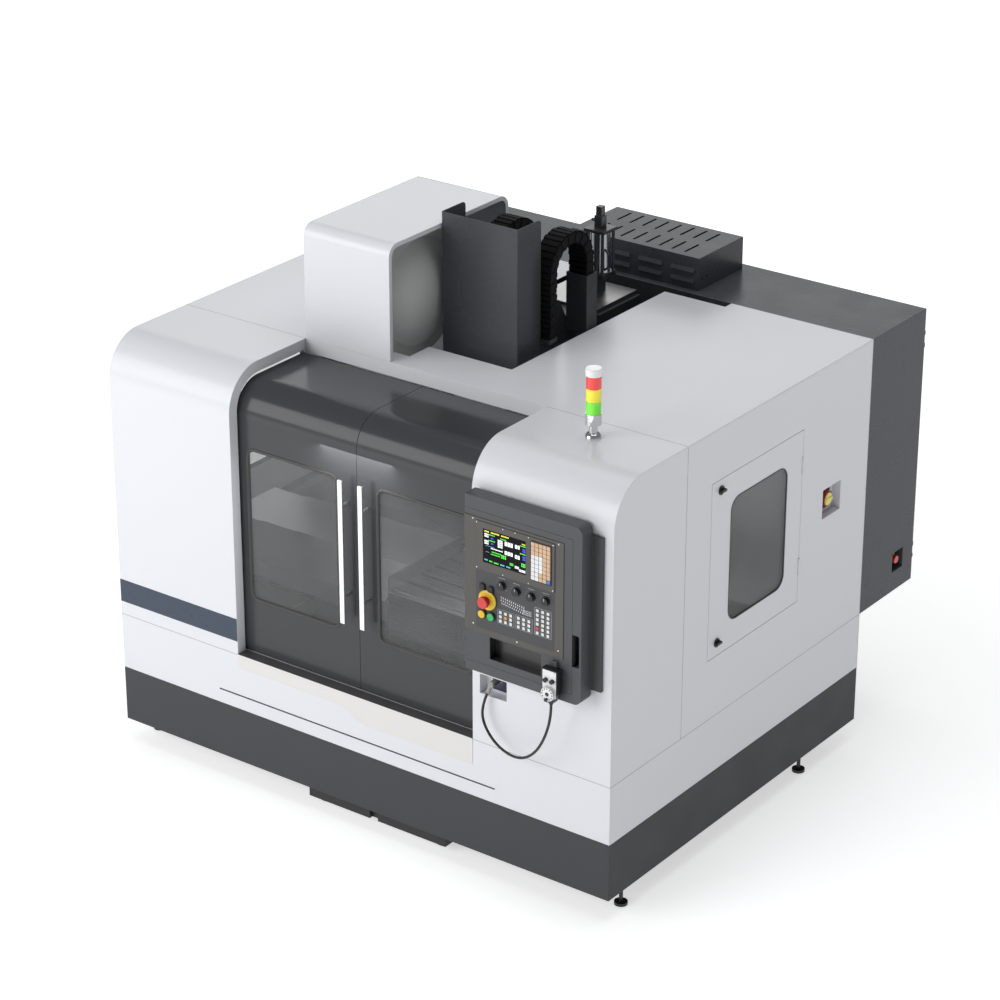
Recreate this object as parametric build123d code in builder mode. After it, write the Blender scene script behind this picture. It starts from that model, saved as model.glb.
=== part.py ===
from build123d import *
import math
import os

os.makedirs("parts", exist_ok=True)

# A vertical machining center with a full enclosure. All sizes are in millimetres.
# Places are measured from the enclosure's front left edge and the skirt's lower edge:
# x to the right along the front, y from the front to the back, z up.

# Enclosure
width = 2750
body_depth = 2024
cabinet_depth = 474
roof_height = 1915
skirt_height = 273
band_height = 276
floor_gap = 110
sheet = 3
fold = 25
sill_depth = 100
band_top = skirt_height + band_height
cabinet_rear = body_depth + cabinet_depth

# Front covers and doors
left_cover_width = 709
right_cover_width = 716
cover_depth = 530
cover_shoulder = 200
jamb_depth = 52
door_setback = 60
door_thickness = 28
door_drop = 69
door_shoulder = 150
door_lap = 12
door_rim = 20
door_gap = 1
door_rear_gap = 3
door_lift = 4
glide_gap = 0.3
rail_width = 12
header_gap = 3
doorway_left = left_cover_width
doorway_right = width - right_cover_width
door_split = (doorway_left + doorway_right) / 2
door_bottom = band_top + sheet + door_lift
door_top = roof_height - door_drop

# Door windows
window_jamb_margin = 48
window_middle_margin = 115
window_lift = 270
window_drop = 144
window_corner = 35
pane_thickness = 8
pane_lap = 12
pane_gap = 0.5
window_bottom = door_bottom + window_lift
window_top = door_top - door_shoulder - window_drop

# Door handles
handle_offset = 55
handle_width = 25
handle_thickness = 12
handle_corner = 3
handle_reach = 53
handle_lift = 60
handle_rise = 16
handle_post_inset = 124
handle_post_radius = 9
handle_bottom = window_bottom + handle_lift
handle_top = window_top + handle_rise

# Apron sheet under the doors
apron_proud = 1.5
apron_left_drop = 64
apron_right_drop = 124
apron_left_run = 541
apron_step_run = 220
apron_step_start = doorway_left + apron_left_run
apron_step_end = apron_step_start + apron_step_run

# Access door
access_front = 723
access_length = 729
access_lift = 293
access_drop = 241
access_gap = 2
access_flange = 18
access_flange_wall = 2
access_hinge_inset = 150
knuckle_radius = 5
knuckle_length = 40
knuckle_gap = 0.4
pin_radius = 2.5
pin_gap = 0.3
access_rear = access_front + access_length
access_bottom = band_top + access_lift
access_top = roof_height - access_drop

# Side windows
side_window_front_margin = 155
side_window_rear_margin = 127
side_window_lift = 126
side_window_drop = 124
side_window_corner = 60
side_window_front = access_front + side_window_front_margin
side_window_rear = access_rear - side_window_rear_margin
side_window_bottom = access_bottom + side_window_lift
side_window_top = access_top - side_window_drop

# Quarter-turn latches on the access door
latch_inset = 70
upper_latch_drop = 50
lower_latch_lift = 63
latch_reach = 18
latch_plate_radius = 21
latch_plate_thickness = 4
latch_shaft_radius = 7
latch_shaft_gap = 0.3
latch_grip_length = 38
latch_grip_width = 11
latch_cam_length = 34
latch_cam_width = 14
latch_cam_thickness = 3
latch_y = access_front + latch_inset
upper_latch_z = access_top - upper_latch_drop
lower_latch_z = access_bottom + lower_latch_lift

# Main switch
switch_inset = 188
switch_length = 153
switch_drop = 743
switch_height = 142
switch_depth = 42
switch_plate = 4
switch_dial_radius = 30
switch_dial_thickness = 12
switch_grip_height = 16
switch_grip_width = 14
switch_shaft_radius = 6
switch_front = access_rear + switch_inset
switch_rear = switch_front + switch_length
switch_bottom = roof_height - switch_drop
switch_top = switch_bottom + switch_height

# Emergency stop on the cabinet
side_stop_setback = 284
side_stop_length = 97
side_stop_lift = 101
side_stop_height = 100
side_stop_depth = 44
side_stop_radius = 20
side_stop_neck = 12
side_stop_front = body_depth + side_stop_setback
side_stop_rear = side_stop_front + side_stop_length
side_stop_bottom = band_top + side_stop_lift
side_stop_top = side_stop_bottom + side_stop_height

# Rotary and push controls
turn_gap = 0.3
nut_thickness = 5
press_travel = 4

# Bed, with the place of the column and the spindle
spindle_shift = 25
spindle_y = 985
throat = 575
column_depth = 330
column_drop = 10
bed_width = 1100
bed_front = 330
bed_rear_lap = 10
bed_bottom = -40
bed_drop = 149
bed_wall = 60
bed_roof = 90
bed_ways_setback = 20
bed_rail_offset = 250
bed_rail_width = 70
bed_rail_height = 79.5
screw_radius = 14
screw_gap = 1
nut_half = 35
nut_wall = 5
spindle_x = width / 2 + spindle_shift
column_front = spindle_y + throat
column_rear = column_front + column_depth
column_top = roof_height - column_drop
bed_left = spindle_x - bed_width / 2
bed_right = spindle_x + bed_width / 2
bed_rear = column_rear + bed_rear_lap
bed_top = band_top - bed_drop

# Column
column_top_width = 370
column_cap_width = 336
column_cap_thickness = 20
column_foot_width = 620
column_taper_drop = 405
head_rail_lift = 500
head_rail_drop = 25
rail_offset = 110
head_rail_width = 60
head_rail_depth = 30
head_screw_inset = 2
groove_gap = 3
rail_gap = 0.5
head_rail_bottom = bed_top + head_rail_lift
head_rail_top = column_top - head_rail_drop
column_taper_end = column_top - column_taper_drop
column_cap_left = spindle_x - column_cap_width / 2
column_cap_right = spindle_x + column_cap_width / 2
column_cap_top = column_top + column_cap_thickness

# Spindle head
head_width = 290
head_reach = 82
head_drop = 265
head_height = 410
head_rear_drop = 165
head_shoulder_run = 140
head_slope_run = 45
carriage_depth = 120
carriage_drop = 100
housing_radius = 75
housing_length = 40
head_front = spindle_y - head_reach
head_bottom = column_top - head_drop
head_top = head_bottom + head_height
head_rear_top = head_top - head_rear_drop
carriage_front = column_front - carriage_depth
carriage_bottom = head_bottom - carriage_drop
head_shoulder_y = carriage_front - head_shoulder_run
head_slope_y = carriage_front - head_slope_run

# Spindle
spindle_nose_drop = 65
spindle_nose_radius = 55
spindle_nose_length = 24
spindle_radius = 44.5
spindle_gap = 0.5
spindle_length = 180
spindle_key_half = 8
taper_mouth = 44.45
taper_length = 68
taper_ratio = 7 / 24
taper_bore_radius = 9
spindle_nose_z = head_bottom - spindle_nose_drop

# Head cover and spindle motor
head_cover_left_reach = 207
head_cover_right_reach = 208
head_cover_lift = 120
head_cover_height = 748
head_cover_depth = 169
head_cover_bend = 5
head_cover_corner = 20
motor_side = 160
motor_chamfer = 20
motor_height = 280
motor_cap_height = 50
motor_cap_side = 140
head_cover_left = spindle_x - head_cover_left_reach
head_cover_right = spindle_x + head_cover_right_reach
head_cover_bottom = head_bottom + head_cover_lift
head_cover_rear = head_front + head_cover_depth

# Magazine cover
magazine_gap = 3
magazine_width = 479
magazine_depth = 870
magazine_height = 537
magazine_corner = 60
magazine_lip = 20
magazine_right = head_cover_left - magazine_gap
magazine_left = magazine_right - magazine_width
magazine_front = cover_depth
magazine_rear = magazine_front + magazine_depth
magazine_top = roof_height + magazine_height

# Tool carousel
carousel_setback = 365
carousel_rise = 195
disc_radius = 305
disc_inset = 118
disc_thickness = 12
dome_radius = 250
dome_height = 92
pot_count = 24
pot_circle_radius = 268
pot_radius = 31
pot_sides = 10
pot_bore_sides = 8
pot_length = 118
pot_bore = 17
hub_radius = 40
hub_gap = 0.4
hub_end_inset = 50
boss_radius = 62
boss_length = 150
carousel_y = magazine_front + carousel_setback
carousel_z = roof_height + carousel_rise
disc_right = magazine_right - disc_inset

# Roof openings of the magazine and the head
magazine_opening_setback = 103
magazine_opening_rear_inset = 15
head_opening_left_reach = 224
head_opening_right_reach = 268
head_opening_setback = 246
cable_slot_width = 332
cable_slot_depth = 54
opening_left = magazine_left + fold
opening_right = magazine_right + fold
opening_front = magazine_front + magazine_opening_setback
opening_rear = magazine_rear - magazine_opening_rear_inset
head_opening_left = spindle_x - head_opening_left_reach
head_opening_right = spindle_x + head_opening_right_reach
head_opening_front = cover_depth + head_opening_setback
cable_slot_front = body_depth - cable_slot_depth

# Electrical cabinet
cabinet_door_width = 878
cabinet_door_inset = 22
cabinet_door_lift = 41
cabinet_door_drop = 40
cabinet_door_gap = 2
cabinet_door_flange = 20
cabinet_hinge_margin = 15
cabinet_hinge_inset = 90
backplate_inset = 100
backplate_stand_off = 13
cabinet_door_right = width - cabinet_door_inset
cabinet_door_left = cabinet_door_right - cabinet_door_width
cabinet_door_bottom = band_top + cabinet_door_lift
cabinet_door_top = roof_height - cabinet_door_drop
cabinet_hinge_x = width - cabinet_hinge_margin

# Equipment in the cabinet: drives, breakers and the transformer
equipment_margin = 40
drive_count = 5
drive_width = 120
drive_height = 380
drive_depth = 210
drive_gap = 25
drive_drop = 60
breaker_count = 10
breaker_rows = 2
breaker_width = 54
breaker_height = 90
breaker_depth = 80
breaker_gap = 18
breaker_lift = 120
breaker_row_pitch = 200
transformer_left = 400
transformer_width = 500
transformer_depth = 260
transformer_height = 300

# Vent box
vent_left_reach = 328
vent_width = 718
vent_setback = 43
vent_depth = 376
vent_height = 158
vent_slot_pitch = 72
vent_slot_width = 12
vent_slot_length = 121
vent_front_row = 101
vent_rear_row = 281
louvre_groups = 4
louvre_length = 130
louvre_height = 20
louvre_depth = 9
louvre_pitch = 180
louvre_row_pitch = 51
vent_grommet_radius = 6
vent_grommet_lift = 52
vent_grommet_insets = (29, 71)
vent_left = spindle_x - vent_left_reach
vent_right = vent_left + vent_width
vent_front = body_depth + vent_setback
vent_rear = vent_front + vent_depth

# Stack light
light_inset = 373
light_y = 380
light_base_radius = 35
light_base_height = 24
light_neck_radius = 18
light_neck_height = 36
light_body_radius = 35
light_body_height = 48
light_lens_radius = 32.5
light_lens_height = 56.5
light_lens_gap = 1
light_cap_radius = 36
light_cap_height = 32
light_cap_round = 6.4
light_x = width - light_inset

# Saddle
saddle_length = 1200
saddle_depth = 500
saddle_reach = 535
saddle_gap = 80
saddle_height = 210
cross_rail_inset = 90
cross_rail_width = 60
cross_rail_height = 30
wing_inset = 160
wing_front_lap = 25
wing_rear_lap = 2
wing_lift = 10
wing_thickness = 15
screw_block_length = 35
axis_motor_side = 72
axis_motor_length = 150
saddle_left = spindle_x - saddle_length / 2
saddle_right = spindle_x + saddle_length / 2
saddle_front = spindle_y - saddle_reach
saddle_rear = saddle_front + saddle_depth
saddle_bottom = bed_top + saddle_gap
saddle_top = saddle_bottom + saddle_height
cross_rail_front = saddle_front + cross_rail_inset
cross_rail_rear = saddle_rear - cross_rail_inset
wing_left = wing_inset
wing_right = width - wing_inset
wing_front = saddle_front - wing_front_lap
wing_rear = saddle_rear + wing_rear_lap
wing_top = saddle_top + wing_lift
screw_y = (saddle_front + saddle_rear) / 2

# Work table
table_length = 1200
table_depth = 575
table_thickness = 80
table_end_gap = 145
table_overhang = 31
table_lift = 85
slot_count = 5
first_slot_inset = 134
slot_pitch = 101
slot_neck_width = 18
slot_neck_depth = 20
slot_head_width = 32
slot_head_depth = 14
gutter_inset = 31
gutter_width = 16
gutter_depth = 10
shoe_offset = 350
shoe_length = 220
guard_thickness = 8
guard_front_inset = 11
guard_rear_inset = 34
guard_rise = 70
apron_plate_thickness = 4
apron_plate_height = 135
table_right = wing_right - table_end_gap
table_left = table_right - table_length
table_front = saddle_front - table_overhang
table_rear = table_front + table_depth
table_bottom = saddle_top + table_lift
table_top = table_bottom + table_thickness

# Way covers
way_cover_lap = 10
way_cover_sections = 5
way_cover_step = 5
way_cover_wall = 3
way_cover_front_rise = 100
way_cover_ridge_inset = 175
way_cover_ridge_rise = 212
way_cover_left = wing_left - way_cover_lap
way_cover_right = wing_right + way_cover_lap
way_cover_front_height = wing_top + way_cover_front_rise
way_cover_ridge_y = wing_front + way_cover_ridge_inset
way_cover_ridge = wing_top + way_cover_ridge_rise

# Work area liner, with each step's inset from the side and height above the liner's floor
liner_side = 60
liner_steps = [
    (liner_side, 330),
    (90, 315),
    (90, 270),
    (110, 255),
    (110, 195),
    (140, 180),
    (140, 80),
    (260, 0),
]
liner_drop = 215
liner_lift = 61
liner_gap = 5
liner_opening_half = 720
liner_rail_opening_half = 200
liner_rear = column_front - liner_gap
liner_top = roof_height - liner_drop
liner_floor = band_top + liner_lift
liner_opening = (spindle_x - liner_opening_half, spindle_x + liner_opening_half)
liner_rail_opening = (spindle_x - liner_rail_opening_half, spindle_x + liner_rail_opening_half)

# Cable chains
chain_right_reach = 255
twin_chain_left_reach = 40
chain_width = 100
chain_gap = 3
chain_span = 338
chain_thickness = 58
chain_rise = 506
chain_bracket_rise = 25
chain_bracket_thickness = 20
chain_rear_rise = 85
chain_notch = 5
chain_pitch = 34
trough_wall = 4
trough_gap = 2
trough_drop = 5
trough_rise = 268
chain_stand_thickness = 6
chain_stand_gap = 11
chain_stand_lap = 25
chain_right = spindle_x + chain_right_reach
twin_chain_right = spindle_x - twin_chain_left_reach
chain_front = head_cover_rear + chain_gap
chain_rear = chain_front + chain_span
chain_top = column_top + chain_rise
chain_bracket_z = column_top + chain_bracket_rise
chain_rear_bottom = column_top + chain_rear_rise
trough_bottom = column_top - trough_drop
trough_top = column_top + trough_rise
chain_stand_y = chain_rear + chain_stand_gap

# Booster cylinder on the column
booster_shift = 50
booster_setback = 195
booster_stand_height = 85
booster_stand_wall = 12
booster_stand_width = 50
booster_plate = 104
booster_plate_thickness = 24
booster_barrel_radius = 46
booster_barrel_length = 197
booster_cap = 110
booster_cap_thickness = 14
booster_rod_radius = 7
booster_rod_offset = 43
booster_valve_side = 40
booster_valve_height = 58
booster_pilot_side = 30
booster_pilot_height = 44
booster_port_radius = 7
booster_port_length = 26
booster_x = spindle_x + booster_shift
booster_y = column_front + booster_setback

# Levelling feet, their lugs and the beams between the skirt and the bed
foot_radius = 30
foot_thickness = 14
foot_stud_radius = 9
foot_x = 46
front_foot_y = 167
rear_foot_setback = 410
lug_thickness = 8
lug_length = 90
beam_width = 60
beam_bottom = 30
beam_front_inset = 190
beam_rear_inset = 400
bed_foot_radius = 60
bed_foot_thickness = 28
bed_stud_radius = 22
rear_foot_y = body_depth - rear_foot_setback
front_beam_y = bed_front + beam_front_inset
rear_beam_y = bed_rear - beam_rear_inset

# Coolant tank
tank_left_reach = 337
tank_width = 776
tank_front = 53
tank_clearance = 30
tank_drop = 83
tank_notch_inset = 350
tank_notch_width = 46
tank_notch_depth = 20
castor_width = 22
tank_left = spindle_x - tank_left_reach
tank_right = tank_left + tank_width
tank_rear = bed_front
tank_bottom = tank_clearance - floor_gap
tank_top = skirt_height - tank_drop
tank_notch_left = tank_left + tank_notch_inset
tank_notch_right = tank_notch_left + tank_notch_width

# Control panel
panel_inset = 29
panel_lift = 391
panel_width = 592
panel_height = 806
panel_depth = 72
panel_stand_off = 15
panel_corner = 35
panel_wall = 3
back_box_inset = 57
back_box_width = 585
back_box_lift = 50
back_box_height = 700
panel_left = doorway_right + panel_inset
panel_bottom = band_top + panel_lift
panel_right = panel_left + panel_width
panel_top = panel_bottom + panel_height
panel_face = -(panel_stand_off + panel_depth)
back_box_left = panel_left + back_box_inset
back_box_right = back_box_left + back_box_width
back_box_bottom = panel_bottom + back_box_lift
back_box_top = back_box_bottom + back_box_height

# Panel door and its plate, with places measured from the panel's lower left corner
panel_door_width = 546
panel_door_lift = 45
panel_door_height = 700
panel_door_gap = 1
panel_door_return = 56
plate_width = 503
plate_bottom = 190
plate_top = 717
plate_thickness = 3
bezel_left = 59
bezel_right = 460
bezel_bottom = 485
bezel_top = 704
bezel_thickness = 4
screen_left = 98
screen_right = 316
screen_bottom = 524
screen_top = 676
screen_depth = 2
tray_left = 127
tray_right = 392
tray_bottom = 78
tray_top = 182
tray_depth = 45
grip_slot_left = 530
grip_slot_right = 582
grip_slot_bottom = 172
grip_slot_top = 318
grip_slot_corner = 8

# Controls on the plate: places, and each key field's span, height, columns and rows
mode_spot = (193, 440)
rapid_spot = (268, 435)
feed_spot = (342, 433)
speed_spot = (416, 435)
stop_spot = (121, 354)
hold_spot = (94, 284)
start_spot = (140, 283)
port_spots = ((94, 408), (137, 406))
port_half = 13
mode_keys = ((174, 253), (267, 326), 3, 3)
axis_keys = ((266, 346), (267, 327), 3, 3)
function_keys = ((362, 443), (268, 390), 3, 6)
data_keys = ((344, 442), (516, 686), 5, 9)
key_size = 15
data_key_size = 14
key_mat = 1
key_thickness = 3
knob_radius = 17
knob_height = 16
knob_flange_radius = 21
knob_flange_thickness = 3
knob_shaft_radius = 4
pointer_proud = 1
stop_ring_radius = 44
stop_ring_thickness = 4
stop_head_radius = 26
stop_neck_radius = 15
stop_height = 36
button_radius = 13
button_ring_radius = 17
button_height = 9

# Hand-wheel unit
wheel_offset = 427
wheel_drop = 2
wheel_width = 78
wheel_height = 154
wheel_taper = 46
hook_reach = 12
wheel_depth = 34
dial_rise = 47
dial_radius = 33
dial_height = 16
crank_reach = 14
crank_radius = 6
crank_offset = 22
selector_rise = 105
selector_radius = 10
selector_height = 12
selector_pointer_half = 2
axis_selector_inset = 23
step_selector_inset = 56
wheel_left = panel_left + wheel_offset
wheel_bottom = panel_bottom - wheel_drop
wheel_back = panel_face - hook_reach
wheel_face = wheel_back - wheel_depth
dial_x = wheel_left + wheel_width / 2
dial_z = wheel_bottom + dial_rise
selector_z = wheel_bottom + selector_rise
axis_selector_x = wheel_left + axis_selector_inset
step_selector_x = wheel_left + step_selector_inset

# Connector recess and its plug
socket_inset = 10
socket_width = 141
socket_drop = 154
socket_height = 92
socket_depth = 45
plug_inset = 73
plug_lift = 70
plug_radius = 14
plug_flange_radius = 18
plug_flange_thickness = 6
plug_reach = 24
plug_neck_radius = 10
socket_left = panel_left + socket_inset
socket_right = socket_left + socket_width
socket_bottom = panel_bottom - socket_drop
socket_top = socket_bottom + socket_height
plug_x = socket_left + plug_inset
plug_z = socket_bottom + plug_lift

# Hand-wheel cable, with its route measured from the panel's lower left corner
cable_radius = 6
gland_radius = 9
cable_spots = [
    (67, -22, -125),
    (47, -34, -188),
    (57, -44, -260),
    (121, -57, -326),
    (208, -71, -356),
    (297, -85, -344),
    (375, -98, -280),
    (433, -110, -178),
    (464, -116, -72),
    (464, -116, -14),
]
cable_points = [(panel_left + x, y, panel_bottom + z) for x, y, z in cable_spots]

# The origin is the middle of the footprint, on the floor
control_reach = dial_height + crank_reach - wheel_face
hinge_proud = 2 * knuckle_radius + knuckle_gap
left = -(width + latch_reach) / 2
front = (control_reach - cabinet_rear - hinge_proud) / 2


def at(x, y, z):
    """Point of the part's frame for a place on the machine."""
    return (left + x, front + y, floor_gap + z)


def side_view(x):
    """Plane seen from the right: y runs across and z up."""
    return Plane(origin=at(x, 0, 0), x_dir=(0, 1, 0), z_dir=(1, 0, 0))


def front_view(y):
    """Plane seen from the front: x runs across and z up."""
    return Plane(origin=at(0, y, 0), x_dir=(1, 0, 0), z_dir=(0, -1, 0))


def top_view(z):
    """Plane seen from above: x runs across and y away."""
    return Plane(origin=at(0, 0, z), x_dir=(1, 0, 0), z_dir=(0, 0, 1))


def block(xs, ys, zs, mode=Mode.ADD):
    """Box between two places on each axis."""
    with Locations(at((xs[0] + xs[1]) / 2, (ys[0] + ys[1]) / 2, (zs[0] + zs[1]) / 2)):
        Box(xs[1] - xs[0], ys[1] - ys[0], zs[1] - zs[0], mode=mode)


def rod(x, y, z, radius, length, axis="Z", mode=Mode.ADD):
    """Cylinder that starts at a place and runs along an axis."""
    turn = {"X": (0, 90, 0), "Y": (-90, 0, 0), "Z": (0, 0, 0)}[axis]
    low = (Align.CENTER, Align.CENTER, Align.MIN)
    with Locations(at(x, y, z)):
        Cylinder(radius, length, rotation=turn, align=low, mode=mode)


def rounded(plane, across, up, radius, depth, mode=Mode.ADD):
    """Plate with round corners on a view plane."""
    with BuildSketch(plane) as shape:
        with Locations(((across[0] + across[1]) / 2, (up[0] + up[1]) / 2)):
            RectangleRounded(across[1] - across[0], up[1] - up[0], radius)
    extrude(shape.sketch, amount=depth, mode=mode)


def profile(plane, points, depth, mode=Mode.ADD):
    """Straight-sided outline on a view plane."""
    with BuildSketch(plane) as shape:
        with BuildLine():
            Polyline(*points, close=True)
        make_face()
    extrude(shape.sketch, amount=depth, mode=mode)


def shoulder(x, inset, top, radius, rear, bottom, length, mode=Mode.ADD):
    """Front and top in one bend, as seen from the side."""
    with BuildSketch(side_view(x)) as shape:
        with BuildLine():
            Line((inset, bottom), (inset, top - radius))
            CenterArc((inset + radius, top - radius), radius, 180, -90)
            Line((inset + radius, top), (rear, top))
            Line((rear, top), (rear, bottom))
            Line((rear, bottom), (inset, bottom))
        make_face()
    extrude(shape.sketch, amount=length, mode=mode)


def save(piece, name):
    """Label a finished piece and write it."""
    piece.part.label = name
    export_step(piece.part, f"parts/{name}.step")


# Base skirt
with BuildPart() as base_skirt:
    block((0, width), (0, body_depth), (0, skirt_height))
    block((sheet, width - sheet), (sheet, body_depth - sheet), (sheet, skirt_height - sheet), Mode.SUBTRACT)
    block((fold, width - fold), (fold, body_depth - fold), (0, skirt_height), Mode.SUBTRACT)
    for foot_y in (front_foot_y, rear_foot_y):
        for lug_x in (sheet, width - sheet - 2 * foot_x):
            lug_rear = foot_y + lug_length / 2
            block((lug_x, lug_x + 2 * foot_x), (foot_y - lug_length / 2, lug_rear), (0, lug_thickness))
    for beam_y in (front_beam_y, rear_beam_y):
        for beam_xs in ((sheet, bed_left), (bed_right, width - sheet)):
            block(beam_xs, (beam_y, beam_y + beam_width), (beam_bottom, beam_bottom + beam_width))
save(base_skirt, "base_skirt")

# Lower band of the body
with BuildPart() as lower_body_band:
    block((0, width), (0, body_depth), (skirt_height, band_top))
    inner_top = band_top - sheet
    block((sheet, width - sheet), (sheet, body_depth - sheet), (skirt_height, inner_top), Mode.SUBTRACT)
    block((sill_depth, width - sill_depth), (sill_depth, body_depth - fold), (skirt_height, band_top),
          Mode.SUBTRACT)
save(lower_body_band, "lower_body_band")

# Door sill with the rail and the apron sheet
with BuildPart() as door_sill:
    sill_top = band_top + sheet
    rail_middle = door_setback + door_thickness / 2
    block((doorway_left, doorway_right), (-apron_proud, sill_depth), (band_top, sill_top))
    block((fold, width - fold), (door_setback, sill_depth), (band_top, sill_top))
    rail_top = door_bottom - glide_gap
    rail_ys = (rail_middle - rail_width / 2, rail_middle + rail_width / 2)
    block((fold, width - fold), rail_ys, (sill_top, rail_top))
    with BuildSketch(front_view(0)) as apron:
        with BuildLine():
            low_left = band_top - apron_left_drop
            low_right = band_top - apron_right_drop
            step_middle = ((apron_step_start + apron_step_end) / 2, (low_left + low_right) / 2)
            Line((doorway_left, band_top), (doorway_left, low_left))
            Line((doorway_left, low_left), (apron_step_start, low_left))
            TangentArc((apron_step_start, low_left), step_middle, tangent=(1, 0))
            TangentArc((apron_step_end, low_right), step_middle, tangent=(-1, 0))
            Line((apron_step_end, low_right), (doorway_right, low_right))
            Line((doorway_right, low_right), (doorway_right, band_top))
            Line((doorway_right, band_top), (doorway_left, band_top))
        make_face()
    extrude(amount=apron_proud)
save(door_sill, "door_sill")


def front_cover(start, length, jamb):
    """Cover shell between two places, open at the back, with a folded jamb."""
    shoulder(start, 0, roof_height, cover_shoulder, cover_depth, band_top, length)
    inner = (sheet, roof_height - sheet, cover_shoulder - sheet, cover_depth, band_top)
    shoulder(start + sheet, *inner, length - 2 * sheet, Mode.SUBTRACT)
    cut = (jamb_depth, roof_height - jamb_depth, cover_shoulder - jamb_depth, cover_depth, band_top)
    shoulder(jamb, *cut, sheet, Mode.SUBTRACT)


# Left front cover
with BuildPart() as left_front_cover:
    front_cover(0, left_cover_width, doorway_left - sheet)
save(left_front_cover, "left_front_cover")

# Right front cover with the connector recess
with BuildPart() as right_front_cover:
    front_cover(doorway_right, right_cover_width, doorway_right)
    recess_xs = (socket_left, socket_right)
    recess_zs = (socket_bottom, socket_top)
    rounded(front_view(0), (socket_left - sheet, socket_right + sheet),
            (socket_bottom - sheet, socket_top + sheet), sheet, -(socket_depth + sheet))
    block(recess_xs, (0, socket_depth), recess_zs, Mode.SUBTRACT)
save(right_front_cover, "right_front_cover")


def side_panel(outer, inner, inward):
    """Side sheet with its folded edges."""
    xs = (min(outer, inner), max(outer, inner))
    block(xs, (cover_depth, body_depth), (band_top, roof_height - sheet))
    folded = (min(outer, outer + inward * fold), max(outer, outer + inward * fold))
    block(folded, (cover_depth, cover_depth + sheet), (band_top, roof_height - sheet))
    block(folded, (body_depth - sheet, body_depth), (band_top, roof_height - sheet))
    block(folded, (cover_depth, body_depth), (band_top, band_top + sheet))
    block(folded, (cover_depth, body_depth), (roof_height - 2 * sheet, roof_height - sheet))


side_window = ((side_window_front, side_window_rear), (side_window_bottom, side_window_top))

# Left side panel
with BuildPart() as left_side_panel:
    side_panel(0, sheet, 1)
    rounded(side_view(0), *side_window, side_window_corner, sheet, Mode.SUBTRACT)
save(left_side_panel, "left_side_panel")

# Left side window
with BuildPart() as left_side_window:
    pane_ys = (side_window_front - pane_lap, side_window_rear + pane_lap)
    pane_zs = (side_window_bottom - pane_lap, side_window_top + pane_lap)
    rounded(side_view(sheet), pane_ys, pane_zs, side_window_corner + pane_lap, pane_thickness)
save(left_side_window, "left_side_window")


def knuckle(x, y, z, length, bore):
    """Hinge barrel around a vertical axis."""
    rod(x, y, z, knuckle_radius, length)
    if bore:
        rod(x, y, z, pin_radius + pin_gap, length, mode=Mode.SUBTRACT)


# The access door turns on pins at its rear edge
access_hinge_y = access_rear + access_gap / 2
access_hinge_zs = (access_bottom + access_hinge_inset, access_top - access_hinge_inset - knuckle_length)

# Right side panel
with BuildPart() as right_side_panel:
    side_panel(width, width - sheet, -1)
    gap_ys = (access_front - access_gap, access_rear + access_gap)
    gap_zs = (access_bottom - access_gap, access_top + access_gap)
    block((width - sheet, width), gap_ys, gap_zs, Mode.SUBTRACT)
    pocket_ys = (switch_front, switch_rear)
    pocket_zs = (switch_bottom, switch_top)
    block((width - switch_depth - sheet, width), (switch_front - sheet, switch_rear + sheet),
          (switch_bottom - sheet, switch_top + sheet))
    block((width - switch_depth, width), pocket_ys, pocket_zs, Mode.SUBTRACT)
    switch_y = (switch_front + switch_rear) / 2
    switch_z = (switch_bottom + switch_top) / 2
    plate_half = (switch_top - switch_bottom) / 2 - 2 * switch_plate
    plate_x = width - switch_depth + switch_plate
    block((width - switch_depth, plate_x), (switch_y - plate_half, switch_y + plate_half),
          (switch_z - plate_half, switch_z + plate_half))
    rod(width - switch_depth - sheet, switch_y, switch_z, switch_shaft_radius + turn_gap,
        sheet + switch_plate, "X", Mode.SUBTRACT)
    for hinge_z in access_hinge_zs:
        block((width - sheet, width), (access_rear, access_hinge_y + knuckle_radius + knuckle_gap),
              (hinge_z - knuckle_gap, hinge_z + knuckle_length + knuckle_gap), Mode.SUBTRACT)
        for end_z in (hinge_z - knuckle_gap - knuckle_length / 2, hinge_z + knuckle_length + knuckle_gap):
            ear_xs = (width - sheet, width)
            ear_zs = (end_z, end_z + knuckle_length / 2)
            block(ear_xs, (access_hinge_y, access_hinge_y + knuckle_radius + access_gap), ear_zs)
            knuckle(width, access_hinge_y, end_z, knuckle_length / 2, False)
        pin_bottom = hinge_z - knuckle_gap - knuckle_length / 4
        pin_length = 1.5 * knuckle_length + 2 * knuckle_gap
        rod(width, access_hinge_y, pin_bottom, pin_radius, pin_length)
save(right_side_panel, "right_side_panel")

# Access door
with BuildPart() as access_door:
    flange_x = width - sheet - access_flange
    inner_x = width - sheet
    block((flange_x, width), (access_front, access_rear), (access_bottom, access_top))
    wall = access_flange_wall
    block((flange_x, inner_x), (access_front + wall, access_rear - wall),
          (access_bottom + wall, access_top - wall), Mode.SUBTRACT)
    rounded(side_view(inner_x), *side_window, side_window_corner, sheet, Mode.SUBTRACT)
    for latch_z in (upper_latch_z, lower_latch_z):
        rod(inner_x, latch_y, latch_z, latch_shaft_radius + latch_shaft_gap, sheet, "X", Mode.SUBTRACT)
    for hinge_z in access_hinge_zs:
        for z in (hinge_z - knuckle_length / 2 - 2 * knuckle_gap, hinge_z + knuckle_length):
            block((flange_x, width), (access_rear - knuckle_radius, access_rear),
                  (z, z + knuckle_length / 2 + 2 * knuckle_gap), Mode.SUBTRACT)
        knuckle(width, access_hinge_y, hinge_z, knuckle_length, False)
        rod(width, access_hinge_y, hinge_z, pin_radius + pin_gap, knuckle_length, mode=Mode.SUBTRACT)
save(access_door, "access_door")

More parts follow.
